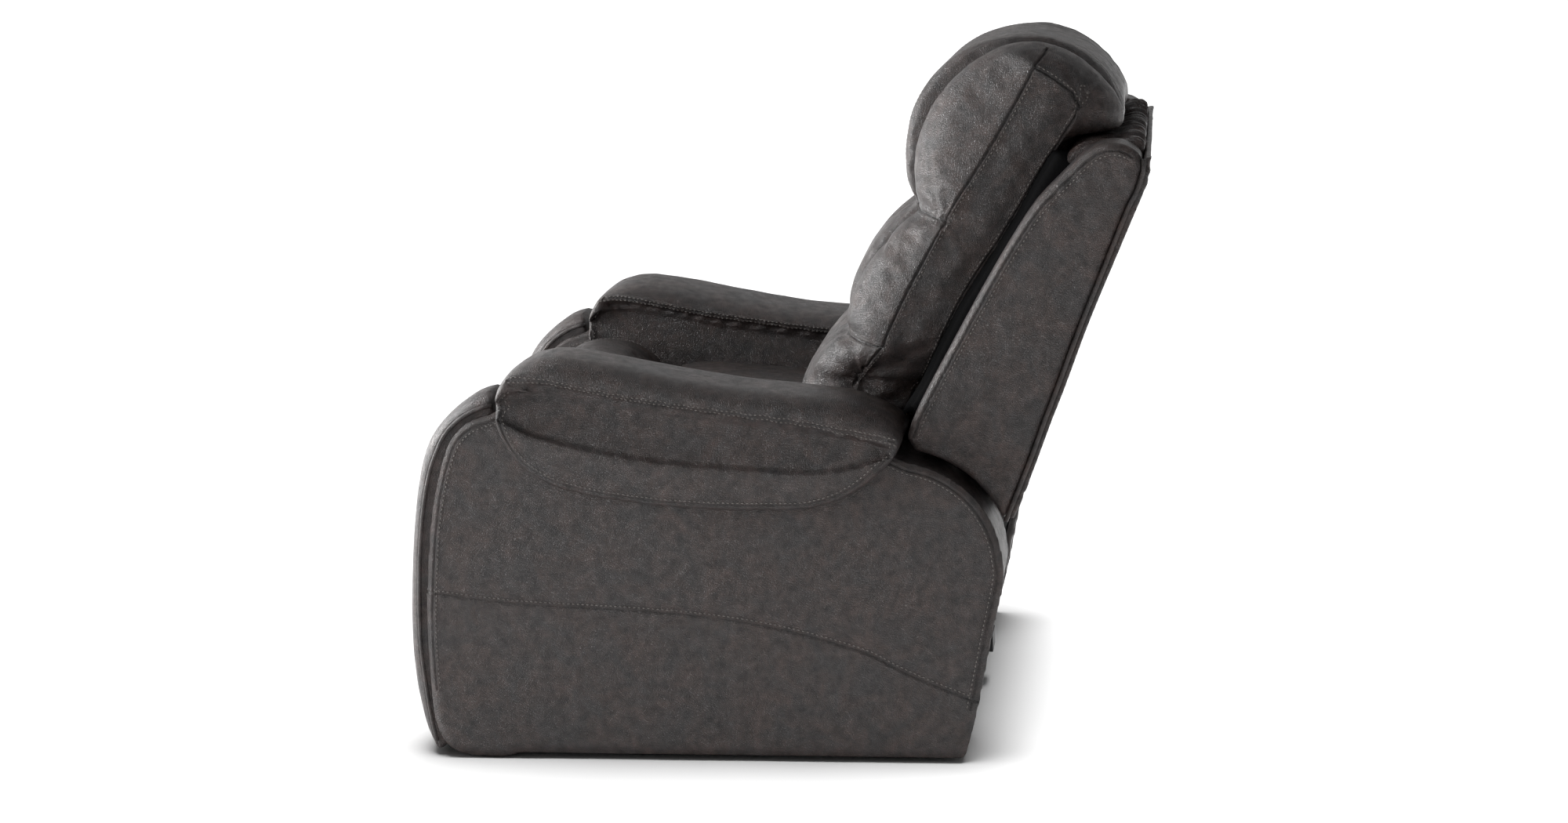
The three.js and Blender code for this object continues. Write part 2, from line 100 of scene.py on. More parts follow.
class RECLINER_PG_leather(bpy.types.PropertyGroup):
    """Cover leather and its sewing"""

    brown: bpy.props.FloatVectorProperty(
        name="Brown", description="Warm tone of the mottled leather",
        subtype="COLOR", size=3, min=0, max=1, default=linear("3b302d")[:3])
    slate: bpy.props.FloatVectorProperty(
        name="Slate", description="Cool tone of the mottled leather",
        subtype="COLOR", size=3, min=0, max=1, default=linear("302c2c")[:3])
    # The thread colour is pale partly as a painted highlight on the stitch rows
    thread: bpy.props.FloatVectorProperty(
        name="Thread", description="Sewing thread colour",
        subtype="COLOR", size=3, min=0, max=1, default=linear("736e6a")[:3])
    stitch: bpy.props.FloatProperty(
        name="Stitch length", description="Length of one stitch seen from above",
        default=0.0048, min=0.001, max=0.02, unit="LENGTH")
    pitch: bpy.props.FloatProperty(
        name="Stitch spacing", description="From the start of one stitch to the next",
        default=0.0074, min=0.0015, max=0.03, unit="LENGTH")
    border: bpy.props.FloatProperty(
        name="Border", description="Width of the folded strip along panel edges",
        default=0.011, min=0.004, max=0.04, unit="LENGTH")


class RECLINER_PG_padding(bpy.types.PropertyGroup):
    """Filling of the cushions"""

    pressure: bpy.props.FloatProperty(
        name="Pressure", description="How hard the filling pushes the cover out",
        default=3.0, min=0, max=20)
    spare: bpy.props.FloatProperty(
        name="Spare cover", description="Extra leather in the cover, which shows as soft folds",
        default=0.035, min=0, max=0.2, subtype="FACTOR")
    cell: bpy.props.FloatProperty(
        name="Mesh size", description="Cell size of the cushion mesh",
        default=0.0065, min=0.003, max=0.02, unit="LENGTH")


class RECLINER_PG_room(bpy.types.PropertyGroup):
    """Floor and lights"""

    floor_shade: bpy.props.FloatProperty(
        name="Floor shade", description="How pale the floor is",
        default=0.86, min=0, max=1, subtype="FACTOR")
    room_light: bpy.props.FloatProperty(
        name="Room light", description="Soft light from all round", default=0.14, min=0, max=5)
    ceiling: bpy.props.FloatProperty(
        name="Ceiling light", description="Strength of the wide light from above", default=4.4, min=0, max=20)
    key_power: bpy.props.FloatProperty(
        name="Key light", description="Power of the big light in front of the chair",
        default=280, min=0, max=2000, subtype="POWER")


# ---- Mesh helpers ----
def finish_piece(bm, name, body, material):
    """Turns a bmesh into an object in the scene, on its CAD body."""
    mesh = bpy.data.meshes.new(name)
    bm.to_mesh(mesh)
    bm.free()
    piece = bpy.data.objects.new(name, mesh)
    bpy.context.scene.collection.objects.link(piece)
    mesh.materials.append(material)
    mesh.polygons.foreach_set("use_smooth", [True] * len(mesh.polygons))
    if body:
        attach(piece, body)
    return piece


def leather_piece(bm, name, body=None):
    """A piece in the cover leather; where no body is given, the step attaches it later or leaves it where it is.
    """
    return finish_piece(bm, name, body, corrected_grain_leather())


def spline(points, per, closed=False):
    """Points on a smooth curve through the given ones, the same number between each pair."""
    pts = np.array(points, float)
    n = len(pts)
    out = []
    for i in range(n if closed else n - 1):
        at = [(i + k) % n if closed else min(max(i + k, 0), n - 1) for k in (-1, 0, 1, 2)]
        p0, p1, p2, p3 = pts[at]
        for t in np.linspace(0, 1, per, endpoint=False):
            out.append(0.5 * (2 * p1 + (p2 - p0) * t + (2 * p0 - 5 * p1 + 4 * p2 - p3) * t ** 2
                              + (3 * p1 - p0 - 3 * p2 + p3) * t ** 3))
    if not closed:
        out.append(pts[-1])
    return np.array(out)


def evenly(points, gap):
    """The same run of points, spaced evenly about the given gap apart."""
    pts = np.array(points, float)
    run = np.concatenate([[0], np.cumsum(np.linalg.norm(np.diff(pts, axis=0), axis=1))])
    count = max(2, int(round(run[-1] / gap)) + 1)
    at = np.linspace(0, run[-1], count)
    return np.stack([np.interp(at, run, pts[:, k]) for k in range(pts.shape[1])], axis=1)


def curve_through(points, count, closed=False):
    """Evenly spaced points on a smooth curve through the given ones."""
    dense = spline(points, 12, closed)
    if closed:
        dense = np.vstack([dense, dense[:1]])
    run = np.concatenate([[0], np.cumsum(np.linalg.norm(np.diff(dense, axis=0), axis=1))])
    at = np.linspace(0, run[-1], count + 1 if closed else count)
    out = np.stack([np.interp(at, run, dense[:, k]) for k in range(dense.shape[1])], axis=1)
    return out[:-1] if closed else out


def mm(points):
    """Millimetres to metres."""
    return [tuple(v / 1000 for v in p) for p in points]


def slab(outline, x0, x1):
    """A flat panel: a side-view outline of (y, z) pushed from x0 to x1."""
    bm = bmesh.new()
    ring = [bm.verts.new((x0, y, z)) for y, z in outline]
    bmesh.ops.contextual_create(bm, geom=ring)
    pushed = bmesh.ops.extrude_face_region(bm, geom=bm.faces[:])
    moved = [v for v in pushed["geom"] if isinstance(v, bmesh.types.BMVert)]
    bmesh.ops.translate(bm, verts=moved, vec=(x1 - x0, 0, 0))
    bmesh.ops.recalc_face_normals(bm, faces=bm.faces[:])
    return bm


def skin_rings(rings):
    """A closed form drawn through rings of matching points: each ring is extruded on to the next."""
    bm = bmesh.new()
    verts = [bm.verts.new(p) for p in rings[0]]
    bmesh.ops.contextual_create(bm, geom=verts)
    edges = bm.edges[:]
    for ring in rings[1:]:
        pushed = bmesh.ops.extrude_edge_only(bm, edges=edges)
        fresh = {tuple(round(c, 6) for c in v.co): v for v in pushed["geom"] if isinstance(v, bmesh.types.BMVert)}
        verts = [fresh[tuple(round(c, 6) for c in v.co)] for v in verts]
        edges = [e for e in pushed["geom"] if isinstance(e, bmesh.types.BMEdge)
                 and e.verts[0] in verts and e.verts[1] in verts]
        for v, place in zip(verts, ring):
            v.co = place
    bmesh.ops.contextual_create(bm, geom=verts)
    bmesh.ops.recalc_face_normals(bm, faces=bm.faces[:])
    return bm


def joined(parts):
    """One bmesh made of several, which are freed."""
    bm = bmesh.new()
    for part in parts:
        mesh = bpy.data.meshes.new("part")
        part.to_mesh(mesh)
        part.free()
        bm.from_mesh(mesh)
        bpy.data.meshes.remove(mesh)
    return bm


def baked(piece):
    """Applies the piece's modifiers to its mesh."""
    bpy.context.view_layer.update()
    deps = bpy.context.evaluated_depsgraph_get()
    mesh = bpy.data.meshes.new_from_object(piece.evaluated_get(deps))
    old = piece.data
    piece.modifiers.clear()
    piece.data = mesh
    mesh.name = piece.name
    bpy.data.meshes.remove(old)
    mesh.polygons.foreach_set("use_smooth", [True] * len(mesh.polygons))


def remesh(piece, cell):
    """Gives the piece an even mesh of small cells, ready to fill and form."""
    change = piece.modifiers.new("even", "REMESH")
    change.mode = "VOXEL"
    change.voxel_size = cell
    change.adaptivity = 0
    baked(piece)


def relax(piece, factor, rounds):
    """Smooths the whole piece."""
    change = piece.modifiers.new("relax", "SMOOTH")
    change.factor = factor
    change.iterations = rounds
    baked(piece)


def places(piece):
    """Where the piece's vertices are."""
    out = np.empty(len(piece.data.vertices) * 3)
    piece.data.vertices.foreach_get("co", out)
    return out.reshape(-1, 3)


def put(piece, co):
    """Moves the piece's vertices to new places."""
    piece.data.vertices.foreach_set("co", co.ravel())
    piece.data.update()


def normals(piece):
    """Which way each vertex of the piece faces."""
    out = np.empty(len(piece.data.vertices) * 3)
    piece.data.vertices.foreach_get("normal", out)
    return out.reshape(-1, 3)


def reach(co, line):
    """Distance from each point to a run of points, both of any dimension."""
    line = np.asarray(line, float)
    best = np.full(len(co), 1e9)
    for a, b in zip(line[:-1], line[1:]):
        d = b - a
        t = np.clip(((co - a) @ d) / max(d @ d, 1e-12), 0, 1)
        best = np.minimum(best, np.linalg.norm(co - (a + t[:, None] * d), axis=1))
    return best


def surface_tree(pieces):
    """The pieces' surfaces, ready for nearest-point searches."""
    bm = bmesh.new()
    for piece in pieces:
        bm.from_mesh(piece.data)
    tree = BVHTree.FromBMesh(bm)
    bm.free()
    return tree


def laid_on(tree, line, gap=0.004):
    """A line of points pulled on to the nearest surface."""
    return np.array([tuple(tree.find_nearest(Vector(p))[0]) for p in evenly(line, gap)])


def refine(piece, lines, within, rounds=2):
    """Splits the mesh finer near the lines, so that a narrow seam can be formed in it."""
    bm = bmesh.new()
    bm.from_mesh(piece.data)
    for step in range(rounds):
        co = np.array([tuple(v.co) for v in bm.verts])
        away = nearest(co, lines, within * 1.5)
        near = away < within / (1 + step)
        bm.verts.index_update()
        edges = [e for e in bm.edges if near[e.verts[0].index] and near[e.verts[1].index]]
        bmesh.ops.subdivide_edges(bm, edges=edges, cuts=1, use_grid_fill=True, smooth=0.0)
    bm.to_mesh(piece.data)
    bm.free()
    piece.data.update()


def nearest(co, lines, beyond=0.03):
    """Distance from each point to the nearest of several lines; far points just get a large number."""
    best = np.full(len(co), 1.0)
    for line in lines:
        line = np.asarray(line, float)
        for start in range(0, len(line) - 1, 12):
            part = line[start:start + 13]
            low, high = part.min(0) - beyond, part.max(0) + beyond
            inside = np.nonzero(((co > low) & (co < high)).all(axis=1))[0]
            if len(inside):
                best[inside] = np.minimum(best[inside], reach(co[inside], part))
    return best


def form_seams(piece, seams, stitched=(), depth=0.0018, rounds=2, within=0.012, painted_seam_shade=0.6):
    """Sinks seam lines into the surface, with the leather rising beside them, and dimples under stitch rows; also
    paints shade along the seams and rows into the seam attribute.
    """
    tree = surface_tree([piece])
    seams = [laid_on(tree, line) for line in seams]
    rows = [laid_on(tree, line) for line in stitched]
    refine(piece, seams + rows, within, rounds)
    relax_near(piece, seams + rows, within)
    co = places(piece)
    away = nearest(co, seams)
    row = nearest(co, rows) if rows else away + 1
    height = 0.0006 * np.exp(-((away - 0.0042) / 0.0026) ** 2) - depth * np.exp(-(away / 0.0016) ** 2) \
        - 0.25 * depth * np.exp(-(away / 0.006) ** 2) - 0.0006 * np.exp(-(row / 0.0020) ** 2)
    put(piece, co + normals(piece) * height[:, None])
    # Painted shade: darkens the leather's colour in each seam groove, under the stitch rows and faintly beside the
    # seams
    shade = piece.data.attributes.new("seam", "FLOAT", "POINT")
    shade.data.foreach_set("value", painted_seam_shade * np.exp(-(away / 0.0016) ** 2) + 0.12 * np.exp(-(row / 0.0016) ** 2)
                           + 0.1 * np.exp(-(away / 0.010) ** 2))


def relax_near(piece, lines, within):
    """Smooths the finer part of the mesh a little."""
    bm = bmesh.new()
    bm.from_mesh(piece.data)
    co = np.array([tuple(v.co) for v in bm.verts])
    near = nearest(co, lines) < within * 1.2
    bm.verts.ensure_lookup_table()
    chosen = [bm.verts[int(i)] for i in np.nonzero(near)[0]]
    for _ in range(3):
        bmesh.ops.smooth_vert(bm, verts=chosen, factor=0.5, use_axis_x=True, use_axis_y=True, use_axis_z=True)
    bm.to_mesh(piece.data)
    bm.free()
    piece.data.update()


def crease(distance, depth, width=0.0035, swell=0.0009):
    """Height of leather beside a wide channel: a groove with a slight swell each side."""
    return swell * np.exp(-((distance - 0.011) / 0.007) ** 2) - depth * np.exp(-(distance / width) ** 2)


def ripple(co, size, seed, stretch=(1, 1, 1)):
    """Soft uneven height for hand-pulled leather, about -1 to 1."""
    scale = np.array(stretch) / size
    return np.array([noise.noise(Vector(p * scale) + Vector((seed, 0, 0))) for p in co])


def sew(name, runs, surfaces, body, settings, lift=0.0002, width=0.0019, blend=None):
    """Stitches along runs of 3-D points, each laid on the nearest surface."""
    tree = surface_tree(surfaces)
    bm = bmesh.new()
    for run in runs:
        pts = laid_on(tree, run)
        length = np.concatenate([[0], np.cumsum(np.linalg.norm(np.diff(pts, axis=0), axis=1))])
        at = np.arange(settings.pitch / 2, length[-1] - settings.stitch / 2, settings.pitch)
        for s in at:
            ends = [Vector([np.interp(s + d, length, pts[:, k]) for k in range(3)])
                    for d in (-settings.stitch / 2, settings.stitch / 2)]
            middle = (ends[0] + ends[1]) / 2
            hit, normal, _, _ = tree.find_nearest(middle, 0.03)
            if hit is None:
                continue
            along = (ends[1] - ends[0])
            along = (along - normal * along.dot(normal)).normalized()
            across = normal.cross(along)
            turn = Matrix((along, across, normal)).transposed().to_4x4()
            turn.translation = hit + normal * lift
            size = Matrix.Diagonal((settings.stitch / 2, width / 2, width / 2.4, 1))
            bmesh.ops.create_icosphere(bm, subdivisions=1, radius=1, matrix=turn @ size)
    piece = finish_piece(bm, name, None if blend else body, leather_thread())
    if blend:
        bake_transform(piece)
    return piece


def stuff(piece, pressure, spare, cap, pins=None, frames=20):
    """Fills a closed cover: cloth with pressure inside, its movement capped."""
    scene = bpy.context.scene
    before = places(piece)
    settings = piece.modifiers.new("filling", "CLOTH").settings
    settings.quality = 4
    settings.mass = 0.5
    settings.tension_stiffness = 18
    settings.compression_stiffness = 18
    settings.shear_stiffness = 6
    settings.bending_stiffness = 1.2
    settings.tension_damping = 8
    settings.compression_damping = 8
    settings.air_damping = 2
    settings.use_pressure = True
    settings.uniform_pressure_force = pressure
    settings.shrink_min = -spare
    settings.effector_weights.gravity = 0
    if pins is not None:
        group = piece.vertex_groups.new(name="held")
        for weight in (0.35, 0.7, 1.0):
            chosen = [int(i) for i in np.nonzero((pins >= weight - 0.3) & (pins < weight + 0.05))[0]]
            group.add(chosen, weight, "REPLACE")
        settings.vertex_group_mass = "held"
    bpy.context.view_layer.update()
    for step in range(1, frames + 1):
        scene.frame_set(step)
    deps = bpy.context.evaluated_depsgraph_get()
    done = piece.evaluated_get(deps)
    after = np.empty(len(before) * 3)
    done.data.vertices.foreach_get("co", after)
    after = after.reshape(-1, 3)
    piece.modifiers.clear()
    piece.vertex_groups.clear()
    scene.frame_set(1)
    shift = after - before
    far = np.linalg.norm(shift, axis=1)
    shift *= np.minimum(1, cap / np.maximum(far, 1e-9))[:, None]
    put(piece, before + shift)


# ---- Materials ----
def add_node(tree, kind, values=None, links=None, **settings):
    """A node with its settings, its input values and what feeds each input."""
    node = tree.nodes.new(kind)
    for key, value in settings.items():
        setattr(node, key, value)
    for key, value in (values or {}).items():
        node.inputs[key].default_value = value
    for key, source in (links or {}).items():
        tree.links.new(source, node.inputs[key])
    return node


def start_material(name):
    """A new material with its tree and shader, or the finished one if it has been made already."""
    existing = bpy.data.materials.get(name)
    if existing:
        return existing, None, None
    material = bpy.data.materials.new(name)
    material.use_nodes = True
    tree = material.node_tree
    return material, tree, tree.nodes["Principled BSDF"]


def corrected_grain_leather():
    """Charcoal two-tone upholstery leather, pebble-embossed and satin finished."""
    # Hand-rubbed pigment gives cool and warm clouds about 55 mm across with worn flecks of 18 mm in them.
    # The real pebble is about 1.5 mm, too fine to show, so it is drawn at 2.6 mm.
    material, tree, shader = start_material("two_tone_upholstery_leather_satin")
    if tree is None:
        return material
    leather = bpy.context.scene.recliner_leather
    place = add_node(tree, "ShaderNodeTexCoord").outputs["Object"]
    clouds = add_node(tree, "ShaderNodeTexNoise",
                      {"Scale": 18, "Detail": 6, "Roughness": 0.66, "Distortion": 0.7}, {"Vector": place})
    ramp = add_node(tree, "ShaderNodeValToRGB", links={"Fac": clouds.outputs["Fac"]})
    ramp.color_ramp.elements[0].position = 0.38
    ramp.color_ramp.elements[0].color = (*leather.slate, 1)
    ramp.color_ramp.elements[1].position = 0.62
    ramp.color_ramp.elements[1].color = (*leather.brown, 1)
    wear = add_node(tree, "ShaderNodeTexNoise", {"Scale": 55, "Detail": 6, "Roughness": 0.66},
                    {"Vector": place})
    patch = add_node(tree, "ShaderNodeMapRange",
                     {"From Min": 0.3, "From Max": 0.7, "To Min": 0.35, "To Max": 1.65},
                     {"Value": wear.outputs["Fac"]})
    pebble = add_node(tree, "ShaderNodeTexVoronoi", {"Scale": 380, "Randomness": 1.0}, {"Vector": place},
                      feature="DISTANCE_TO_EDGE")
    pit = add_node(tree, "ShaderNodeMapRange", {"From Min": 0.0, "From Max": 0.2, "To Min": 0.0, "To Max": 1.0},
                   {"Value": pebble.outputs["Distance"]})
    # Painted shade: the colour is darker in the grooves between the pebbles and lighter on their tops
    pit_shade = add_node(tree, "ShaderNodeMapRange",
                    {"From Min": 0.0, "From Max": 1.0, "To Min": 0.62, "To Max": 1.10},
                    {"Value": pit.outputs["Result"]})
    shade = add_node(tree, "ShaderNodeMath", links={0: patch.outputs["Result"], 1: pit_shade.outputs["Result"]},
                     operation="MULTIPLY")
    # Painted shade: the seam attribute darkens the colour in the seam grooves and under the stitch rows
    seam = add_node(tree, "ShaderNodeAttribute", attribute_name="seam")
    sunk = add_node(tree, "ShaderNodeMapRange", {"From Min": 0.0, "From Max": 1.0, "To Min": 1.0, "To Max": 0.12},
                    {"Value": seam.outputs["Fac"]})
    mottle_and_painted_shade = add_node(tree, "ShaderNodeMath", links={0: shade.outputs["Value"], 1: sunk.outputs["Result"]},
                    operation="MULTIPLY")
    tone = add_node(tree, "ShaderNodeVectorMath", links={0: ramp.outputs["Color"], 1: mottle_and_painted_shade.outputs["Value"]},
                    operation="MULTIPLY")
    tree.links.new(tone.outputs["Vector"], shader.inputs["Base Color"])
    gloss = add_node(tree, "ShaderNodeMapRange",
                     {"From Min": 0.3, "From Max": 0.7, "To Min": 0.46, "To Max": 0.29},
                     {"Value": wear.outputs["Fac"]})
    tree.links.new(gloss.outputs["Result"], shader.inputs["Roughness"])
    grit = add_node(tree, "ShaderNodeTexNoise", {"Scale": 1100, "Detail": 2}, {"Vector": place})
    fine = add_node(tree, "ShaderNodeBump", {"Strength": 0.25, "Distance": 0.0004},
                    {"Height": grit.outputs["Fac"]})
    pebbled = add_node(tree, "ShaderNodeBump", {"Strength": 0.65, "Distance": 0.0010},
                       {"Height": pit.outputs["Result"], "Normal": fine.outputs["Normal"]})
    pull = add_node(tree, "ShaderNodeTexNoise", {"Scale": 28, "Detail": 3}, {"Vector": place})
    pulled = add_node(tree, "ShaderNodeBump", {"Strength": 0.35, "Distance": 0.003},
                      {"Height": pull.outputs["Fac"], "Normal": pebbled.outputs["Normal"]})
    tree.links.new(pulled.outputs["Normal"], shader.inputs["Normal"])
    shader.inputs["IOR"].default_value = 1.5
    return material


def leather_thread():
    """Bonded polyester thread: a soft sheen, a little paler than the leather, the paleness partly a painted
    highlight on the stitch rows.
    """
    material, tree, shader = start_material("bonded_polyester_thread")
    if tree is None:
        return material
    leather = bpy.context.scene.recliner_leather
    place = add_node(tree, "ShaderNodeTexCoord").outputs["Object"]
    # A real twist is 0.3 mm, too fine to show, so it is drawn at 1 mm, as bands of painted shade between the plies
    twist = add_node(tree, "ShaderNodeTexWave", {"Scale": 300, "Distortion": 1.0}, {"Vector": place})
    shade = add_node(tree, "ShaderNodeMapRange", {"To Min": 0.6, "To Max": 1.0}, {"Value": twist.outputs["Fac"]})
    tone = add_node(tree, "ShaderNodeVectorMath", {0: tuple(leather.thread)}, {1: shade.outputs["Result"]},
                    operation="MULTIPLY")
    tree.links.new(tone.outputs["Vector"], shader.inputs["Base Color"])
    shader.inputs["Roughness"].default_value = 0.5
    return material


def dust_cloth():
    """Black spunbond cloth: dull, slightly fuzzy."""
    material = plain_material("black_spunbond_dust_cloth", "0c0c0d", 0.9, 0.0, 1500, 0.0003)
    material.node_tree.nodes["Principled BSDF"].inputs["Specular IOR Level"].default_value = 0.1
    return material


def plain_material(name, colour, roughness, metallic=0.0, grain=400.0, depth=0.0002, spread=0.12):
    """A hard finish with slight colour and gloss variation."""
    material, tree, shader = start_material(name)
    if tree is None:
        return material
    place = add_node(tree, "ShaderNodeTexCoord").outputs["Object"]
    mottling = add_node(tree, "ShaderNodeTexNoise", {"Scale": grain / 10, "Detail": 4}, {"Vector": place})
    tone = add_node(tree, "ShaderNodeMapRange", {"To Min": 1 - spread, "To Max": 1 + spread},
                    {"Value": mottling.outputs["Fac"]})
    base = add_node(tree, "ShaderNodeVectorMath", {0: linear(colour)[:3]}, {1: tone.outputs["Result"]},
                    operation="MULTIPLY")
    tree.links.new(base.outputs["Vector"], shader.inputs["Base Color"])
    gloss = add_node(tree, "ShaderNodeMapRange", {"To Min": roughness - 0.06, "To Max": roughness + 0.06},
                     {"Value": mottling.outputs["Fac"]})
    tree.links.new(gloss.outputs["Result"], shader.inputs["Roughness"])
    texture = add_node(tree, "ShaderNodeTexNoise", {"Scale": grain, "Detail": 2}, {"Vector": place})
    bump = add_node(tree, "ShaderNodeBump", {"Strength": 0.3, "Distance": depth},
                    {"Height": texture.outputs["Fac"]})
    tree.links.new(bump.outputs["Normal"], shader.inputs["Normal"])
    shader.inputs["Metallic"].default_value = metallic
    return material


# ---- Shapes shared by several pieces, side view (y, z) in millimetres ----
PANEL = curve_through([(-408, 9), (-425, 3.5), (-450, 1.5), (-478, 3.5), (-504, 8), (-522, 19), (-534, 38),
                       (-543, 75), (-548, 190), (-543, 285), (-533, 380), (-517, 455), (-497, 510),
                       (-472, 538), (-446, 550), (-421, 557), (-402, 577), (-370, 592), (-335, 597), (-276, 589),
                       (-170, 566), (0, 546), (110, 528), (165, 508), (190, 489), (222, 475)], 84).tolist() + \
    [[192 + 168 * math.cos(math.radians(a)), 310 + 168 * math.sin(math.radians(a))] for a in range(76, 5, -6)] + \
    curve_through([(362, 304), (356, 270), (340, 197), (320, 100), (303, 34), (295, 8)], 16).tolist()
PANEL = mm(PANEL)
LOW_SEAM = mm(curve_through([(-548, 271), (-406, 253), (-225, 243), (-102, 233), (20, 213), (141, 179), (187, 156),
                             (233, 134), (322, 98)], 60))


def inside_edge(outline, distance):
    """The outline moved inwards."""
    pts = np.array(outline)
    ahead = np.roll(pts, -1, axis=0) - np.roll(pts, 1, axis=0)
    ahead /= np.linalg.norm(ahead, axis=1)[:, None]
    side = np.stack([-ahead[:, 1], ahead[:, 0]], axis=1)
    area = 0.5 * np.sum(pts[:, 0] * np.roll(pts[:, 1], -1) - np.roll(pts[:, 0], -1) * pts[:, 1])
    return pts + side * distance * np.sign(area)


def on_side(points, x):
    """A side-view line laid at one place across the chair."""
    return [(x, y, z) for y, z in points]


# ---- Upholstery of the arms ----
class RECLINER_OT_side_panels(bpy.types.Operator):
    """Padded leather panels on both faces of each arm, with their borders and the curved cross seam"""

    bl_idname = "recliner.side_panels"
    bl_label = "Side panels"

    def execute(self, context):
        leather = context.scene.recliner_leather
        for name, side in SIDES:
            for kind, near, far, cell in (("outer", PANEL_FACE, PANEL_FACE - 0.013, 0.0055),
                                          ("inner", INNER_FACE, INNER_FACE + 0.013, 0.008)):
                bm = slab(PANEL, side * far, side * near)
                piece = leather_piece(bm, f"{kind}_side_cover_{name}")
                remesh(piece, cell)
                co = places(piece)
                flat = co[:, 1:]
                edge = reach(flat, PANEL + PANEL[:1])
                out = side * (1 if kind == "outer" else -1)
                face = np.clip((co[:, 0] * out - (near if kind == "outer" else -near) + 0.007) / 0.007, 0, 1)
                height = -0.0075 * np.clip(1 - edge / 0.016, 0, 1) ** 2
                height += 0.0012 * ripple(co, 0.16, 3 + side) + 0.0005 * ripple(co, 0.05, 9 + side)
                co[:, 0] += out * face * (height - 0.0005)
                put(piece, co)
                relax(piece, 0.4, 1)
                border = np.array(inside_edge(PANEL, leather.border))[13:-4]
                row = np.array(inside_edge(PANEL, leather.border + 0.0058))[13:-4]
                seams, rows = [on_side(border, side * near)], [on_side(row, side * near)]
                if kind == "outer":
                    seams.append(on_side(LOW_SEAM, side * near))
                    rows.append(on_side(np.array(LOW_SEAM)[1:-1] + (0, 0.0060), side * near))
                form_seams(piece, seams, rows, depth=0.0012, rounds=2 if side > 0 else 1, painted_seam_shade=0.4)
                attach(piece, "base")
                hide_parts(f"{kind}_side_panel_{name}")
                sew(f"{kind}_side_stitching_{name}", rows, [piece], "base", leather)
            inner, outer = np.array(inside_edge(PANEL, 0.0150)), np.array(inside_edge(PANEL, 0.0025))
            near, far = side * (INNER_FACE + 0.008), side * (PANEL_FACE - 0.008)
            rings = [[(near, *o), (far, *o), (far, *i), (near, *i)] for o, i in zip(outer, inner)]
            strip = leather_piece(skin_rings(rings + rings[:1]), f"arm_edge_cover_{name}")
            remesh(strip, 0.005)
            co = places(strip)
            put(strip, co + normals(strip) * (0.0008 * ripple(co, 0.05, 15 + side))[:, None])
            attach(strip, "base")
        return {"FINISHED"}


class RECLINER_OT_arm_facings(bpy.types.Operator):
    """Crowned pad on the front edge of each arm, with a corded welt down both sides"""

    bl_idname = "recliner.arm_facings"
    bl_label = "Arm facings"

    def execute(self, context):
        back = curve_through([(-525, 20), (-531, 60), (-533, 190), (-528, 285), (-518, 378), (-503, 448),
                              (-484, 498), (-462, 524), (-440, 536), (-424, 546)], 40)
        crown = curve_through([(-551, 10), (-568, 50), (-580, 110), (-584, 175), (-582, 250), (-577, 310),
                               (-571, 365), (-564, 415), (-553, 465), (-540, 502), (-524, 527), (-505, 547),
                               (-482, 565), (-458, 579), (-434, 584)], 40)
        welt = curve_through([(-538, 9), (-550, 60), (-561, 180), (-558, 290), (-549, 380), (-534, 455),
                              (-511, 511), (-488, 538), (-466, 553), (-446, 562), (-429, 566)], 40)
        for name, side in SIDES:
            rings = []
            for b, c, w in zip(back, crown, welt):
                ring = [(-FACING_HALF * 1000, *b)]
                for t in np.linspace(-1, 1, 19):
                    rise = max(0.0, 1 - abs(t) ** 2.4) ** 0.5
                    ring.append((t * FACING_HALF * 1000, *(w + (c - w) * rise)))
                ring.append((FACING_HALF * 1000, *b))
                rings.append([(side * ARM_MIDDLE + x / 1000, y / 1000, max(z, 8.5) / 1000) for x, y, z in ring])
            piece = leather_piece(skin_rings(rings), f"arm_facing_cover_{name}")
            remesh(piece, 0.006)
            co = places(piece)
            lines = [[(side * ARM_MIDDLE + s * (FACING_HALF - 0.004), y / 1000, z / 1000) for y, z in welt]
                     for s in (-1, 1)]
            height = 0.0012 * ripple(co, 0.11, 21 + side) + 0.0004 * ripple(co, 0.035, 2)
            put(piece, co + normals(piece) * height[:, None])
            form_seams(piece, lines, rounds=1)
            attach(piece, "base")
            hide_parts(f"arm_front_facing_{name}")
            cords = []
            for s in (-1, 1):
                line = [(side * ARM_MIDDLE + s * (FACING_HALF - 0.0015), y / 1000 + 0.0005, z / 1000)
                        for y, z in welt[1:]]
                cords.append(skin_rings(tube_rings(line, 0.0036, 10)))
            leather_piece(joined(cords), f"arm_facing_welt_{name}", "base")
        return {"FINISHED"}


def tube_rings(line, radius, sides):
    """Rings of a round cord along a line of points."""
    pts = np.array(line, float)
    ahead = np.gradient(pts, axis=0)
    ahead /= np.linalg.norm(ahead, axis=1)[:, None]
    rings = []
    for p, d in zip(pts, ahead):
        a = np.cross(d, (1, 0, 0))
        if np.linalg.norm(a) < 0.2:
            a = np.cross(d, (0, 0, 1))
        a /= np.linalg.norm(a)
        b = np.cross(d, a)
        rings.append([tuple(p + radius * (math.cos(t) * a + math.sin(t) * b))
                      for t in np.arange(sides) * 2 * math.pi / sides])
    return rings


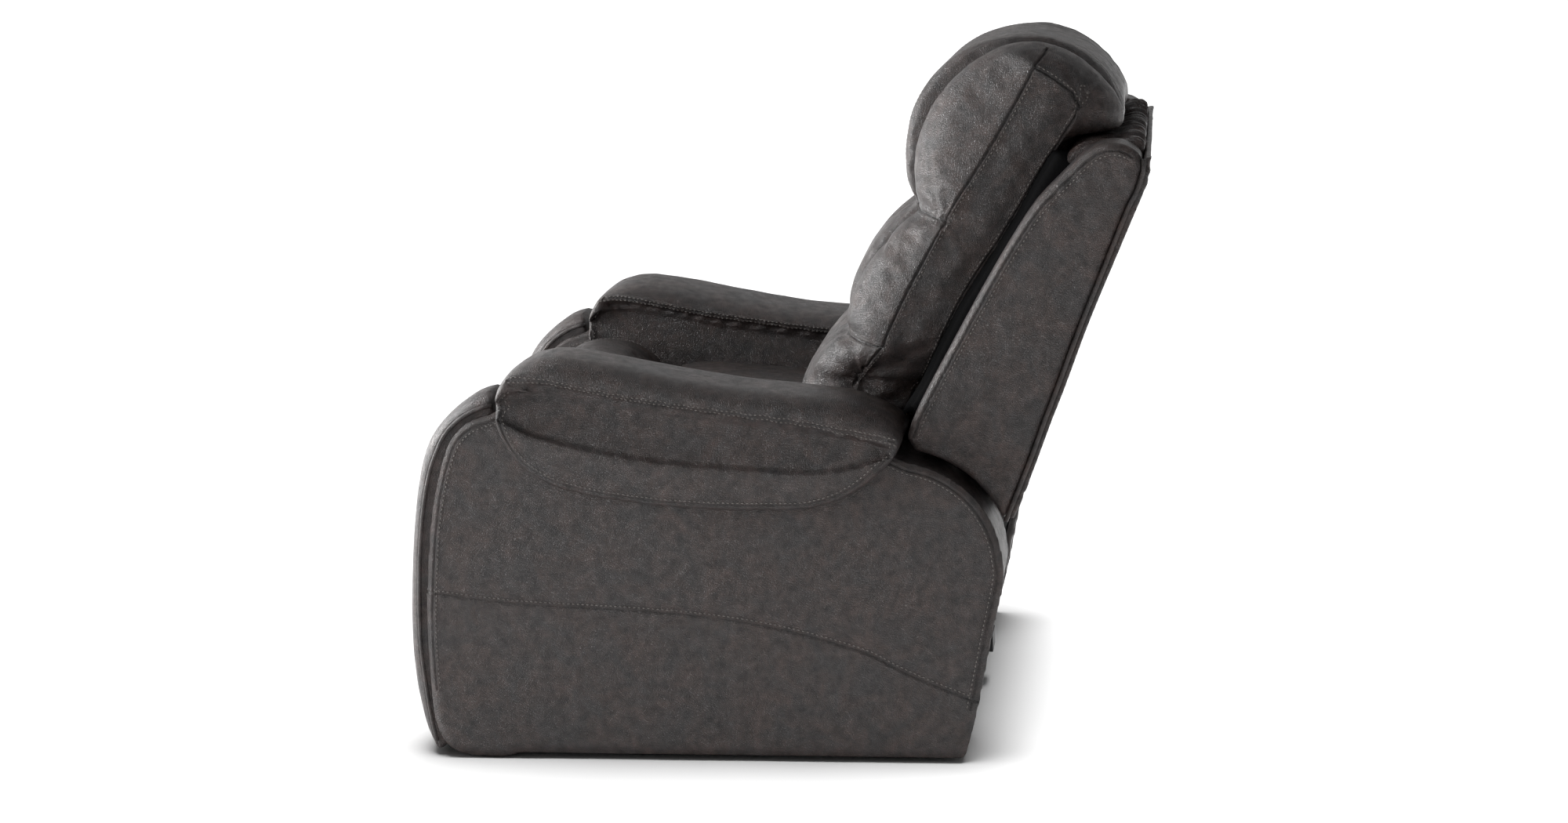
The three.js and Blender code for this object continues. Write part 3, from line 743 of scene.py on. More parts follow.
FLAP = [(-418, 548), (-413, 527), (-399, 497), (-383, 476), (-359, 457), (-325, 440), (-267, 425), (-183, 412),
        (-78, 404), (26, 403), (67, 405), (109, 417), (147, 438), (172, 459), (193, 479), (203, 495), (207, 508)]
SHOULDER = [(-418, 572), (-394, 613), (-342, 609), (-300, 600), (-217, 582), (-93, 563), (31, 546), (150, 525),
            (194, 516), (207, 512)]
PAD_TOP = [(-418, 580), (-414, 603), (-404, 620), (-383, 636), (-352, 646), (-318, 648), (-276, 642), (-233, 634),
           (-170, 620), (-107, 608), (-44, 597), (61, 586), (116, 580), (145, 572), (175, 557), (199, 535),
           (207, 516)]
PAD_UNDER = [(-418, 570), (-402, 590), (-370, 600), (-335, 604), (-276, 597), (-170, 574), (0, 554), (110, 536),
             (165, 517), (190, 499), (207, 496)]


def level(line, y):
    """Height of a side-view line at one depth."""
    pts = np.array(line, float)
    return float(np.interp(y, pts[:, 0], pts[:, 1]))


class RECLINER_OT_arm_pads(bpy.types.Operator):
    """Saddle pad over each arm: a crowned top panel between two double-stitched shoulder seams, and two flaps"""

    bl_idname = "recliner.arm_pads"
    bl_label = "Arm pads"

    def execute(self, context):
        leather = context.scene.recliner_leather
        half = 103.5
        stations = np.concatenate([[-417.5, -414, -408, -400, -390, -378], np.arange(-362, 150, 14),
                                   [152, 162, 172, 182, 190, 196, 201, 205, 207]])
        for name, side in SIDES:
            rings = []
            for y in stations:
                low = level(FLAP, y)
                shoulder = max(level(SHOULDER, y), low + 5)
                top = max(level(PAD_TOP, y), shoulder + 4)
                under = max(level(PAD_UNDER, y), low + 2)
                lift = 8 * min(1, max(0, (207 - y) / 60)) * min(1, max(0, (y + 417) / 40))
                high = top - 7 * min(1, (207 - y) / 40)
                peak = 36 * min(1, max(0, (high - shoulder) / 20))
                sides = []
                for edge, up in ((half, shoulder), (-half, shoulder + lift)):
                    s = 1 if edge > 0 else -1
                    one = [(edge - s * 20, low + 1.0), (edge - s * 11, low + 1.5), (edge - s * 4, low + 6),
                           (edge, low + 14), (edge + s * 1.5, low + 0.45 * (up - low)),
                           (edge, low + 0.88 * (up - low))]
                    for t in np.linspace(0, 90, 9)[:-1]:
                        a = math.radians(t)
                        one.append((peak + (edge - peak) * math.cos(a) ** 0.72,
                                    up + max(2, high - up) * math.sin(a) ** 0.95))
                    sides.append(one)
                inner = [(81.5, low + 3), (81.5, under - 4), (76, under)]
                ring = sides[0] + [(peak, max(high, shoulder + lift + 2))] + sides[1][::-1] + \
                    [(-x, z) for x, z in inner] + inner[::-1]
                rings.append([(side * (ARM_MIDDLE + x / 1000), y / 1000, z / 1000) for x, z in ring])
            piece = leather_piece(skin_rings(rings), f"arm_pad_cover_{name}")
            remesh(piece, 0.0055)
            relax(piece, 0.5, 3)
            shoulders = curve_through([(y, z) for y, z in SHOULDER[1:]], 60)
            lines = [[(side * (ARM_MIDDLE + s * half / 1000), y / 1000, (z + (0 if s > 0 else 8)) / 1000)
                      for y, z in shoulders] for s in (-1, 1)]
            hem = np.array(inside_hem(0.011))
            hems = [[(side * ARM_MIDDLE + s * half / 1000, y, z) for y, z in hem] for s in (-1, 1)]
            co = places(piece)
            height = 0.0015 * ripple(co, 0.12, 31 + side, (1, 0.6, 1)) + 0.0006 * ripple(co, 0.04, 7)
            for line in lines:
                height += crease(reach(co, line), 0.0008, 0.006, 0.0008)
            put(piece, co + normals(piece) * height[:, None])
            relax(piece, 0.3, 1)
            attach(piece, "base")
            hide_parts(f"arm_pad_{name}")
            rows = []
            for line in lines:
                rows += [np.array(line) + (0, 0, 0.0048), np.array(line) - (0, 0, 0.0048)]
            hem_row = np.array(inside_hem(0.0168))
            rows += [[(side * ARM_MIDDLE + s * half / 1000, y, z) for y, z in hem_row] for s in (-1, 1)]
            form_seams(piece, lines + hems, rows, depth=0.0011, painted_seam_shade=0.35)
            sew(f"arm_pad_stitching_{name}", rows, [piece], "base", leather)
        return {"FINISHED"}


def inside_hem(distance):
    """The lower edge of the arm pad's flap, moved inwards."""
    pts = curve_through(mm([(-394, 606), (-414, 570)] + FLAP + [(201, 522)]), 90)
    ahead = np.gradient(pts, axis=0)
    ahead /= np.linalg.norm(ahead, axis=1)[:, None]
    return pts[2:-2] + np.stack([-ahead[:, 1], ahead[:, 0]], axis=1)[2:-2] * distance


# ---- Seat and footrest ----
def cushion_form(outline, half, crown, edge, count=72):
    """Rings of a crowned cushion: a closed side-view outline, drawn in towards both sides."""
    pts = curve_through(mm(outline), count, closed=True)
    low, high = pts.min(0), pts.max(0)
    centre, size = (low + high) / 2, high - low
    rings = []
    for t in np.concatenate([[-1], -np.cos(np.linspace(0.12, math.pi - 0.12, 23)), [1]]):
        from_side = (1 - abs(t)) * half
        drawn = crown * t * t + (0 if from_side >= edge else
                                 0.85 * (edge - math.sqrt(max(0, edge ** 2 - (edge - from_side) ** 2))))
        scaled = centre + (pts - centre) * (1 - 2 * drawn / size)
        rings.append([(t * half, y, z) for y, z in scaled])
    return rings


class RECLINER_OT_seat(bpy.types.Operator):
    """Seat cushion and the thick roll along its front, filled and wrinkled"""

    bl_idname = "recliner.seat"
    bl_label = "Seat"

    def execute(self, context):
        leather = context.scene.recliner_leather
        padding = context.scene.recliner_padding
        shapes = (
            ("seat_cushion", [(-254, 500), (-225, 508), (-180, 508), (-100, 499), (0, 488), (100, 481), (158, 476),
                              (178, 460), (180, 425), (170, 394), (0, 388), (-160, 388), (-242, 392), (-254, 430)],
             0.006, 0.02),
            ("seat_front_roll", [(-266, 498), (-291, 531), (-327, 550), (-368, 557), (-411, 552), (-440, 537),
                                 (-456, 508), (-456, 465), (-446, 420), (-422, 394), (-350, 389), (-287, 392),
                                 (-268, 440)], 0.010, 0.024))
        for node, outline, crown, edge in shapes:
            rings = cushion_form(outline, SEAT_HALF - 0.004, crown, edge)
            piece = leather_piece(skin_rings(rings), f"{node}_cover")
            remesh(piece, padding.cell)
            co = places(piece)
            pins = np.clip(1 - (co[:, 2] - 0.40) / 0.03, 0, 1)
            stuff(piece, padding.pressure, padding.spare, 0.012, pins)
            co = places(piece)
            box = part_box(node)
            height = 0.0014 * ripple(co, 0.09, 51)
            put(piece, np.clip(co + normals(piece) * height[:, None], np.array(box[0]) - 0.002,
                               np.array(box[1]) + 0.006))
            pts = [p for p in curve_through(mm(outline), 120, closed=True) if p[1] > 0.43]
            pts.sort(key=lambda p: p[0])
            seams = [[(s * (SEAT_HALF - 0.018), y, z) for y, z in pts] for s in (-1, 1)]
            rows = [[(s * (SEAT_HALF - 0.024), y, z) for y, z in pts] for s in (-1, 1)]
            form_seams(piece, seams, rows)
            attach(piece, "seat")
            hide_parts(node)
            sew(f"{node}_stitching", rows, [piece], "seat", leather)
        # Leather strip over the front rail, and cloth behind the cushion for when the seat slides out
        strip = [(-392.6, 332), (-395.5, 333), (-396, 345), (-396, 392), (-393, 394), (-392.6, 390)]
        leather_piece(skin_rings(cushion_form(strip, 0.2615, 0.0, 0.002, 60)), "seat_front_strip", "seat")
        tail = [(160, 440), (184, 452), (215, 468), (250, 470), (262, 455), (258, 450), (246, 464), (214, 462),
                (184, 446), (164, 434)]
        rings = [[(x, y, z + 0.003 * math.sin(x * 60)) for y, z in mm(tail)]
                 for x in np.linspace(-0.262, 0.262, 60)]
        finish_piece(skin_rings(rings), "seat_tail_cloth", "seat", dust_cloth())
        return {"FINISHED"}


class RECLINER_OT_footrest(bpy.types.Operator):
    """Padded footrest front with two sewn cross channels"""

    bl_idname = "recliner.footrest"
    bl_label = "Footrest pad"

    def execute(self, context):
        leather = context.scene.recliner_leather
        padding = context.scene.recliner_padding
        outline = [(-463, 80), (-460, 92), (-460, 200), (-460, 330), (-460, 406), (-466, 419), (-500, 429),
                   (-523, 421), (-534, 394), (-540, 330), (-541, 240), (-539, 150), (-532, 100),
                   (-518, 80), (-490, 75)]
        piece = leather_piece(skin_rings(cushion_form(outline, 0.261, 0.0, 0.012)), "footrest_pad_cover")
        remesh(piece, padding.cell)
        co = places(piece)
        pins = np.clip(1 - (-co[:, 1] - 0.484) / 0.015, 0, 1)
        stuff(piece, padding.pressure, padding.spare, 0.010, pins)
        co = places(piece)
        height = 0.001 * ripple(co, 0.08, 61)
        front = np.clip((-co[:, 1] - 0.49) / 0.02, 0, 1)
        for z in (0.19, 0.31):
            height += front * crease(np.abs(co[:, 2] - z), 0.006, 0.007, 0.002)
        co = co + normals(piece) * height[:, None]
        co[:, 1] = np.minimum(co[:, 1], -0.4597)
        put(piece, co)
        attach(piece, "footrest")
        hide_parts("footrest_pad", "footrest_board")
        runs = []
        for z in (0.19, 0.31):
            for d in (-0.006, 0.006):
                runs.append([(x, -0.541, z + d) for x in np.linspace(-0.245, 0.245, 40)])
        sew("footrest_stitching", runs, [piece], "footrest", leather)
        return {"FINISHED"}


# ---- Back ----
WING = mm(curve_through([(213, 508), (222, 536), (245, 581), (272, 630), (304, 688), (338, 748), (374, 808),
                         (411, 863), (449, 903), (487, 939), (513, 953), (540, 955), (562, 945),
                         (573, 931)], 50).tolist()
          + curve_through([(572, 912), (563, 884), (549, 857), (511, 764), (473, 670), (439, 580), (421, 534),
                           (403, 484), (380, 426), (360, 378)], 34).tolist()
          + [[192 + 180 * math.cos(math.radians(a)), 310 + 180 * math.sin(math.radians(a))]
             for a in range(26, 77, 5)] + [[224, 489]])


class RECLINER_OT_back_wings(bpy.types.Operator):
    """Padded side wings of the back, with a stitched border on the front edge and a corded welt at the rear"""

    bl_idname = "recliner.back_wings"
    bl_label = "Back wings"

    def execute(self, context):
        leather = context.scene.recliner_leather
        for name, side in SIDES:
            piece = leather_piece(slab(WING, side * WING_INNER, side * (WING_FACE + 0.003)),
                                  f"back_wing_cover_{name}")
            remesh(piece, 0.0055)
            relax(piece, 0.5, 2)
            co = places(piece)
            flat = co[:, 1:]
            edge = reach(flat, WING + WING[:1])
            face = np.clip((co[:, 0] * side - WING_FACE + 0.03) / 0.03, 0, 1)
            height = -0.006 * np.clip(1 - edge / 0.012, 0, 1) ** 2 + 0.002 * np.clip(edge / 0.10, 0, 1)
            height += 0.0009 * ripple(co, 0.16, 41 + side) + 0.0003 * ripple(co, 0.045, 4)
            folds = np.exp(-((flat[:, 1] - 0.895) / 0.04) ** 2)
            height += folds * 0.0009 * np.sin(flat[:, 0] * 190 + flat[:, 1] * 60)
            co[:, 0] += side * face * height
            put(piece, co)
            relax(piece, 0.4, 1)
            seams = [on_side(np.array(inside_edge(WING, 0.0110))[:49], side * WING_FACE)]
            rows = [on_side(np.array(inside_edge(WING, 0.0168))[:49], side * WING_FACE)]
            form_seams(piece, seams, rows, depth=0.0013, painted_seam_shade=0.7)
            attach(piece, "back")
            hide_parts(f"back_wing_{name}")
            sew(f"back_wing_stitching_{name}", rows, [piece], "back", leather)
            rear = [(side * (WING_FACE - 0.003), y + 0.0022, z) for y, z in WING[49:84]]
            leather_piece(skin_rings(tube_rings(rear, 0.0038, 10)), f"back_wing_welt_{name}", "back")
        return {"FINISHED"}


class RECLINER_OT_back_shell(bpy.types.Operator):
    """Outside back panel and the gathered cover over the top of the frame"""

    bl_idname = "recliner.back_shell"
    bl_label = "Outside back"

    def execute(self, context):
        leather = context.scene.recliner_leather
        line = [(0.574, 0.934)] + WING[50:84] + [(0.366, 0.393)]
        outline = [(y + 0.0125, z) for y, z in line] + [(y + 0.0035, z) for y, z in line[::-1]]
        piece = leather_piece(slab(outline, -0.4155, 0.4155), "back_shell_cover")
        remesh(piece, 0.0045)
        co = places(piece)
        rear = normals(piece)[:, 1] > 0.3
        side_gap = 0.4155 - np.abs(co[:, 0])
        z = co[:, 2]
        height = crease(np.abs(side_gap - 0.014), 0.0016) + crease(np.abs(z - 0.905), 0.0014) \
            + crease(np.abs(z - 0.42), 0.0014) + 0.0010 * ripple(co, 0.14, 71)
        put(piece, co + normals(piece) * (height * rear)[:, None])
        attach(piece, "back")
        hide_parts("back_shell")
        rear_line = [(y + 0.0125, z) for y, z in line]
        runs = [[(s * (0.4155 - 0.020), y, z) for y, z in rear_line[2:-1]] for s in (-1, 1)]
        sew("back_shell_stitching", runs, [piece], "back", leather)

        across = np.linspace(-0.290, 0.290, 90)
        folds = 0.004 * np.sin(across * 2 * math.pi / 0.085) + 0.002 * np.sin(across * 2 * math.pi / 0.031)
        rings = [[(x, 0.3500 + f, 0.400), (x, 0.3215 + 0.3 * f, 0.205), (x, 0.3245 + 0.3 * f, 0.205),
                  (x, 0.3530 + f, 0.400)] for x, f in zip(across, folds)]
        skirt = finish_piece(skin_rings(rings), "rear_skirt", None, dust_cloth())
        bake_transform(skirt)

        top = [(450, 912), (462, 932), (486, 946), (512, 949), (536, 947), (556, 952), (571, 948), (575, 934),
               (564, 912), (548, 897), (520, 890), (484, 892), (458, 900)]
        cover = leather_piece(skin_rings(cushion_form(top, 0.329, 0.001, 0.006, 60)), "back_top_gather")
        remesh(cover, 0.0045)
        co = places(cover)
        up = np.clip((co[:, 2] - 0.925) / 0.02, 0, 1)
        x = co[:, 0] + 0.012 * ripple(co, 0.06, 81)
        pleat = 0.0035 * np.sin(x * 2 * math.pi / 0.026) + 0.0018 * np.sin(x * 2 * math.pi / 0.011 + 1.3)
        put(cover, co + normals(cover) * (up * pleat)[:, None])
        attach(cover, "back")
        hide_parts("back_top_cover")
        return {"FINISHED"}


# Side-view profile of the back: (wing lobe), (flat side gusset), (centre pad), from the seat up, over and down
BACK_PROFILE = (
    ((18, 502), (96, 512), (12, 502)), ((22, 530), (103, 532), (16, 530)),
    ((38, 564), (112, 553), (32, 564)), ((58, 598), (121, 570), (53, 598)),
    ((84, 628), (142, 599), (79, 628)), ((104, 642), (165, 629), (99, 642)),
    ((104, 664), (176, 652), (98, 664)), ((114, 697), (190, 681), (106, 697)),
    ((131, 733), (207, 715), (121, 733)), ((156, 771), (228, 754), (146, 771)),
    ((188, 806), (248, 790), (178, 806)), ((214, 830), (265, 820), (204, 831)),
    ((220, 838), (270, 829), (209, 840)), ((220, 850), (278, 843), (204, 852)),
    ((218, 880), (295, 871), (198, 882)), ((217, 908), (312, 896), (198, 908)),
    ((222, 942), (332, 927), (202, 944)), ((240, 986), (354, 963), (214, 990)),
    ((265, 1024), (374, 998), (241, 1028)), ((297, 1054), (390, 1026), (275, 1062)),
    ((329, 1074), (401, 1046), (314, 1083)), ((360, 1087), (409, 1062), (353, 1094)),
    ((393, 1093), (419, 1060), (392, 1097)), ((427, 1090), (434, 1049), (428, 1094)),
    ((464, 1075), (449, 1038), (464, 1078)), ((500, 1048), (464, 1025), (500, 1050)),
    ((523, 1021), (474, 1014), (523, 1022)), ((538, 996), (480, 1005), (538, 996)),
    ((543, 974), (478, 998), (545, 974)), ((532, 958), (471, 986), (534, 958)),
    ((505, 953), (464, 974), (505, 953)), ((478, 955), (456, 960), (478, 955)),
    ((458, 945), (447, 944), (458, 945)), ((444, 916), (430, 921), (444, 916)),
    ((418, 874), (405, 881), (418, 874)), ((392, 832), (380, 839), (392, 832)),
    ((364, 787), (352, 794), (364, 787)), ((333, 742), (321, 749), (333, 742)),
    ((303, 693), (291, 700), (303, 693)), ((277, 641), (265, 648), (277, 641)),
    ((252, 587), (240, 594), (252, 587)), ((226, 549), (214, 556), (226, 549)),
    ((206, 518), (197, 527), (206, 518)), ((110, 497), (145, 508), (110, 497)))
LOBE, GUSSET, PAD = (spline(mm([row[i] for row in BACK_PROFILE]), 4, closed=True) for i in range(3))
LUMBAR_SEAM, PILLOW_SEAM = 5 * 4, 12 * 4  # where the cross seams run, counted along the profile
# How far across (1 is the gusset), share of the lobe's outline and of the centre pad's, depth of the channel
BACK_STATIONS = (
    (1.0, 0, 0, 0), (0.985, 0.16, 0, 0), (0.955, 0.34, 0, 0), (0.91, 0.55, 0, 0), (0.86, 0.74, 0, 0),
    (0.80, 0.90, 0, 0), (0.73, 1.0, 0, 0), (0.64, 1.0, 0.05, 0.1), (0.60, 0.99, 0.1, 0.45),
    (0.572, 0.97, 0.3, 1.0), (0.545, 0.98, 0.7, 0.5), (0.52, 1.0, 0.95, 0.1), (0.46, 1.0, 1.0, 0),
    (0.34, 1.0, 1.0, 0), (0.17, 1.0, 1.0, 0))
CROSS = ((0, 0.353, 0.874), (0, 0.327, 0.950))  # points at the bend between the upper back and the head pillow


def back_ring(across):
    """The profile of the back at one place across it."""
    table = np.array(BACK_STATIONS)[::-1]
    a = abs(across)
    to_lobe, to_pad, channel = (np.interp(a, table[:, 0], table[:, k]) for k in (1, 2, 3))
    inwards = GUSSET - LOBE
    inwards = inwards / np.maximum(np.linalg.norm(inwards, axis=1), 1e-6)[:, None]
    count = np.arange(len(LOBE)) / 4
    sewn = np.interp(count, (5.5, 8, 28, 31), (0, 1, 1, 0))
    ring = GUSSET + (LOBE - GUSSET) * to_lobe + (PAD - LOBE) * to_pad + inwards * (channel * 0.034 * sewn)[:, None]
    narrow = np.interp(ring[:, 1], (0.560, 0.628), (SEAT_HALF - 0.002, BACK_HALF))
    return np.column_stack([across * narrow, ring])


def along_back(row):
    """A line across the back at one row of the profile."""
    return [tuple(back_ring(a)[row]) for a in np.linspace(-1, 1, 81)]


class RECLINER_OT_back_cushions(bpy.types.Operator):
    """Lumbar roll, upper back and winged head pillow in one sewn cover"""

    bl_idname = "recliner.back_cushions"
    bl_label = "Back cushions"

    def execute(self, context):
        padding = context.scene.recliner_padding
        leather = context.scene.recliner_leather
        steps = [s[0] for s in BACK_STATIONS]
        places_across = steps + [0.0] + [-a for a in steps[::-1]]
        rings = [[tuple(p) for p in back_ring(a)] for a in places_across]
        piece = leather_piece(skin_rings(rings), "back_cushion_cover")
        remesh(piece, padding.cell)
        relax(piece, 0.5, 2)
        tree = surface_tree([piece])
        side_x = BACK_HALF
        seams, rows, dark = [], [], []
        for s in (-1, 1):
            front = [tuple(p) for p in back_ring(s)[10:85]]
            rear = [tuple(p) for p in back_ring(s)[108:168]]
            arc = [(s * side_x, y, z) for y, z in mm([(411, 1063), (440, 1044), (467, 1022), (480, 1007)])]
            tip = [(s * side_x, y, z) for y, z in mm([(480, 1007), (492, 1020), (508, 1044)])]
            crown = [(s * (side_x - d), y, z) for d, y, z in
                     ((0, 0.410, 1.062), (0.006, 0.417, 1.078), (0.016, 0.424, 1.092), (0.03, 0.429, 1.099),
                      (0.06, 0.431, 1.099))]
            seams += [front, rear, arc, crown]
            rows += [offset_in_side(front[2:-3], 0.0065), offset_in_side(rear[2:-2], 0.0065),
                     offset_in_side(arc, -0.0055), offset_in_side(tip, 0.003), offset_in_side(tip, -0.003)]
            channel = [tuple(p) for p in back_ring(s * 0.572)[26:121]]
            dark.append(channel)
            edge = [tuple(p) for p in back_ring(s * 0.44)[52:112]]
            rows.append(edge)
        cross = [along_back(LUMBAR_SEAM), along_back(PILLOW_SEAM)]
        sewn = [laid_on(tree, line, 0.006) for line in seams + cross + dark]
        co = places(piece)
        pins = np.clip(1.25 - nearest(co, sewn) / 0.014, 0, 1)
        pins = np.maximum(pins, np.clip((0.53 - co[:, 2]) / 0.02, 0, 1))
        stuff(piece, padding.pressure * 0.7, padding.spare * 0.5, 0.008, pins)
        relax(piece, 0.5, 3)
        co = places(piece)
        pinch = np.exp(-(np.linalg.norm(co[:, 1:] - (0.130, 0.567), axis=1) / 0.030) ** 2)
        pinch += 0.5 * np.exp(-(np.linalg.norm(co[:, 1:] - (0.480, 1.008), axis=1) / 0.022) ** 2)
        gusset = np.clip((np.abs(co[:, 0]) - 0.20) / 0.05, 0, 1)
        height = 0.0013 * ripple(co, 0.12, 92) + 0.0005 * ripple(co, 0.035, 93) - 0.012 * pinch * gusset
        for y0, z0, size in ((0.128, 0.570, 0.075), (0.480, 1.008, 0.045), (0.268, 0.829, 0.05)):
            dy, dz = co[:, 1] - y0, co[:, 2] - z0
            away = np.hypot(dy, dz)
            height += gusset * 0.0022 * np.exp(-(away / size) ** 2) * np.clip(away / 0.008, 0, 1) \
                * np.sin(9 * np.arctan2(dz, dy) + 3 * ripple(co, 0.06, 94))
        height -= 0.004 * np.exp(-(nearest(co, [laid_on(tree, line) for line in cross]) / 0.012) ** 2)
        put(piece, co + normals(piece) * height[:, None])
        relax(piece, 0.3, 1)
        form_seams(piece, seams + cross + dark, rows, depth=0.0024, painted_seam_shade=0.85)
        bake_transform(piece)
        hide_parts("headrest_cushion", "back_cushion_upper", "back_cushion_lower")
        sew("back_cushion_stitching", rows, [piece], None, leather, blend=("back", "headrest", *CROSS))
        return {"FINISHED"}


def offset_in_side(line, distance):
    """A line on the side of the back, moved sideways within the side view."""
    pts = np.array(line, float)
    ahead = np.gradient(pts[:, 1:], axis=0)
    ahead /= np.maximum(np.linalg.norm(ahead, axis=1), 1e-9)[:, None]
    pts[:, 1] += ahead[:, 1] * distance
    pts[:, 2] -= ahead[:, 0] * distance
    return [tuple(p) for p in pts]


class RECLINER_OT_back_gutters(bpy.types.Operator):
    """Black cloth gutter between the back cushions and each wing, a dark sheet that stands for the shade in the
    gap
    """

    bl_idname = "recliner.back_gutters"
    bl_label = "Back gutters"

    def execute(self, context):
        front = mm([(190, 520), (222, 566), (250, 624), (278, 678), (306, 726), (345, 784), (378, 838), (408, 890),
                    (436, 936)])
        rear = mm([(520, 936), (505, 925), (470, 880), (432, 824), (396, 768), (352, 702), (312, 640), (280, 580),
                   (252, 528), (228, 505)])
        front, rear = curve_through(front, 40), curve_through(rear, 40)
        deep = [tuple(p) for p in front] + [tuple(p) for p in rear]
        shallow = [(y + 0.008, z - 0.003) for y, z in front] + [tuple(p) for p in rear]
        for name, side in SIDES:
            bm = joined([slab(deep, side * 0.270, side * 0.312), slab(shallow, side * 0.300, side * 0.3295)])
            # Painted shade: black cloth fills the gap beside the wing
            piece = finish_piece(bm, f"back_gutter_{name}", None, dust_cloth())
            remesh(piece, 0.0065)
            co = places(piece)
            put(piece, co + normals(piece) * (0.0012 * ripple(co, 0.05, 17 + side))[:, None])
            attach(piece, "back")
        # Cloth wrapped round the frame's lower rail, seen once the back leans away from the seat
        wrap = [(206, 560), (204, 512), (207, 505), (250, 504), (252, 507), (212, 508), (208, 514), (209, 560)]
        rings = [[(x, y - 0.001 * math.sin(x * 45), z) for y, z in mm(wrap)]
                 for x in np.linspace(-0.262, 0.262, 50)]
        finish_piece(skin_rings(rings), "back_rail_wrap", "back", dust_cloth())
        return {"FINISHED"}


# ---- Hard parts ----
class RECLINER_OT_hard_parts(bpy.types.Operator):
    """Finishes of the timber, steel, zinc, plastic and lining parts"""

    bl_idname = "recliner.hard_parts"
    bl_label = "Hard parts"

    def execute(self, context):
        # Sawn plywood edge, open grain; powder coat with a fine orange peel; bright zinc; moulded ABS
        finishes = {
            "timber": plain_material("sawn_birch_plywood", "b08a5c", 0.7, grain=160, depth=0.0004, spread=0.3),
            "steel": plain_material("black_powder_coated_steel", "26272a", 0.48, 0.0, 900, 0.0002),
            "zinc": plain_material("bright_zinc_plated_steel", "a9adb2", 0.34, 1.0, 500, 0.0001),
            "plastic": plain_material("moulded_black_abs", "1c1d1f", 0.5, 0.0, 1200, 0.0001),
            "lining": dust_cloth(),
            "leather": corrected_grain_leather(),
        }
        slots = {part["node"]: part["material_slot"] for part in frame["record"]["subparts"]}
        for name, node in frame["nodes"].items():
            node.data.materials.clear()
            node.data.materials.append(finishes[slots[name]])
        return {"FINISHED"}


# ---- Floor, lights and camera ----
def light_floor(lamp, floor, alone):
    """Makes a lamp light the floor alone, or everything but the floor."""
    group = bpy.data.collections.new(f"{lamp.name}_receivers")
    group.objects.link(floor)
    group.collection_objects[0].light_linking.link_state = "INCLUDE" if alone else "EXCLUDE"
    lamp.light_linking.receiver_collection = group


def shade_floor(lamp, height):
    """Lets only pieces below a height shade the floor, for a close soft shadow."""
    group = bpy.data.collections.new(f"{lamp.name}_blockers")
    for piece in bpy.context.scene.objects:
        if piece.type == "MESH" and not piece.hide_render and max(c[2] for c in piece.bound_box) < height:
            group.objects.link(piece)
    lamp.light_linking.blocker_collection = group


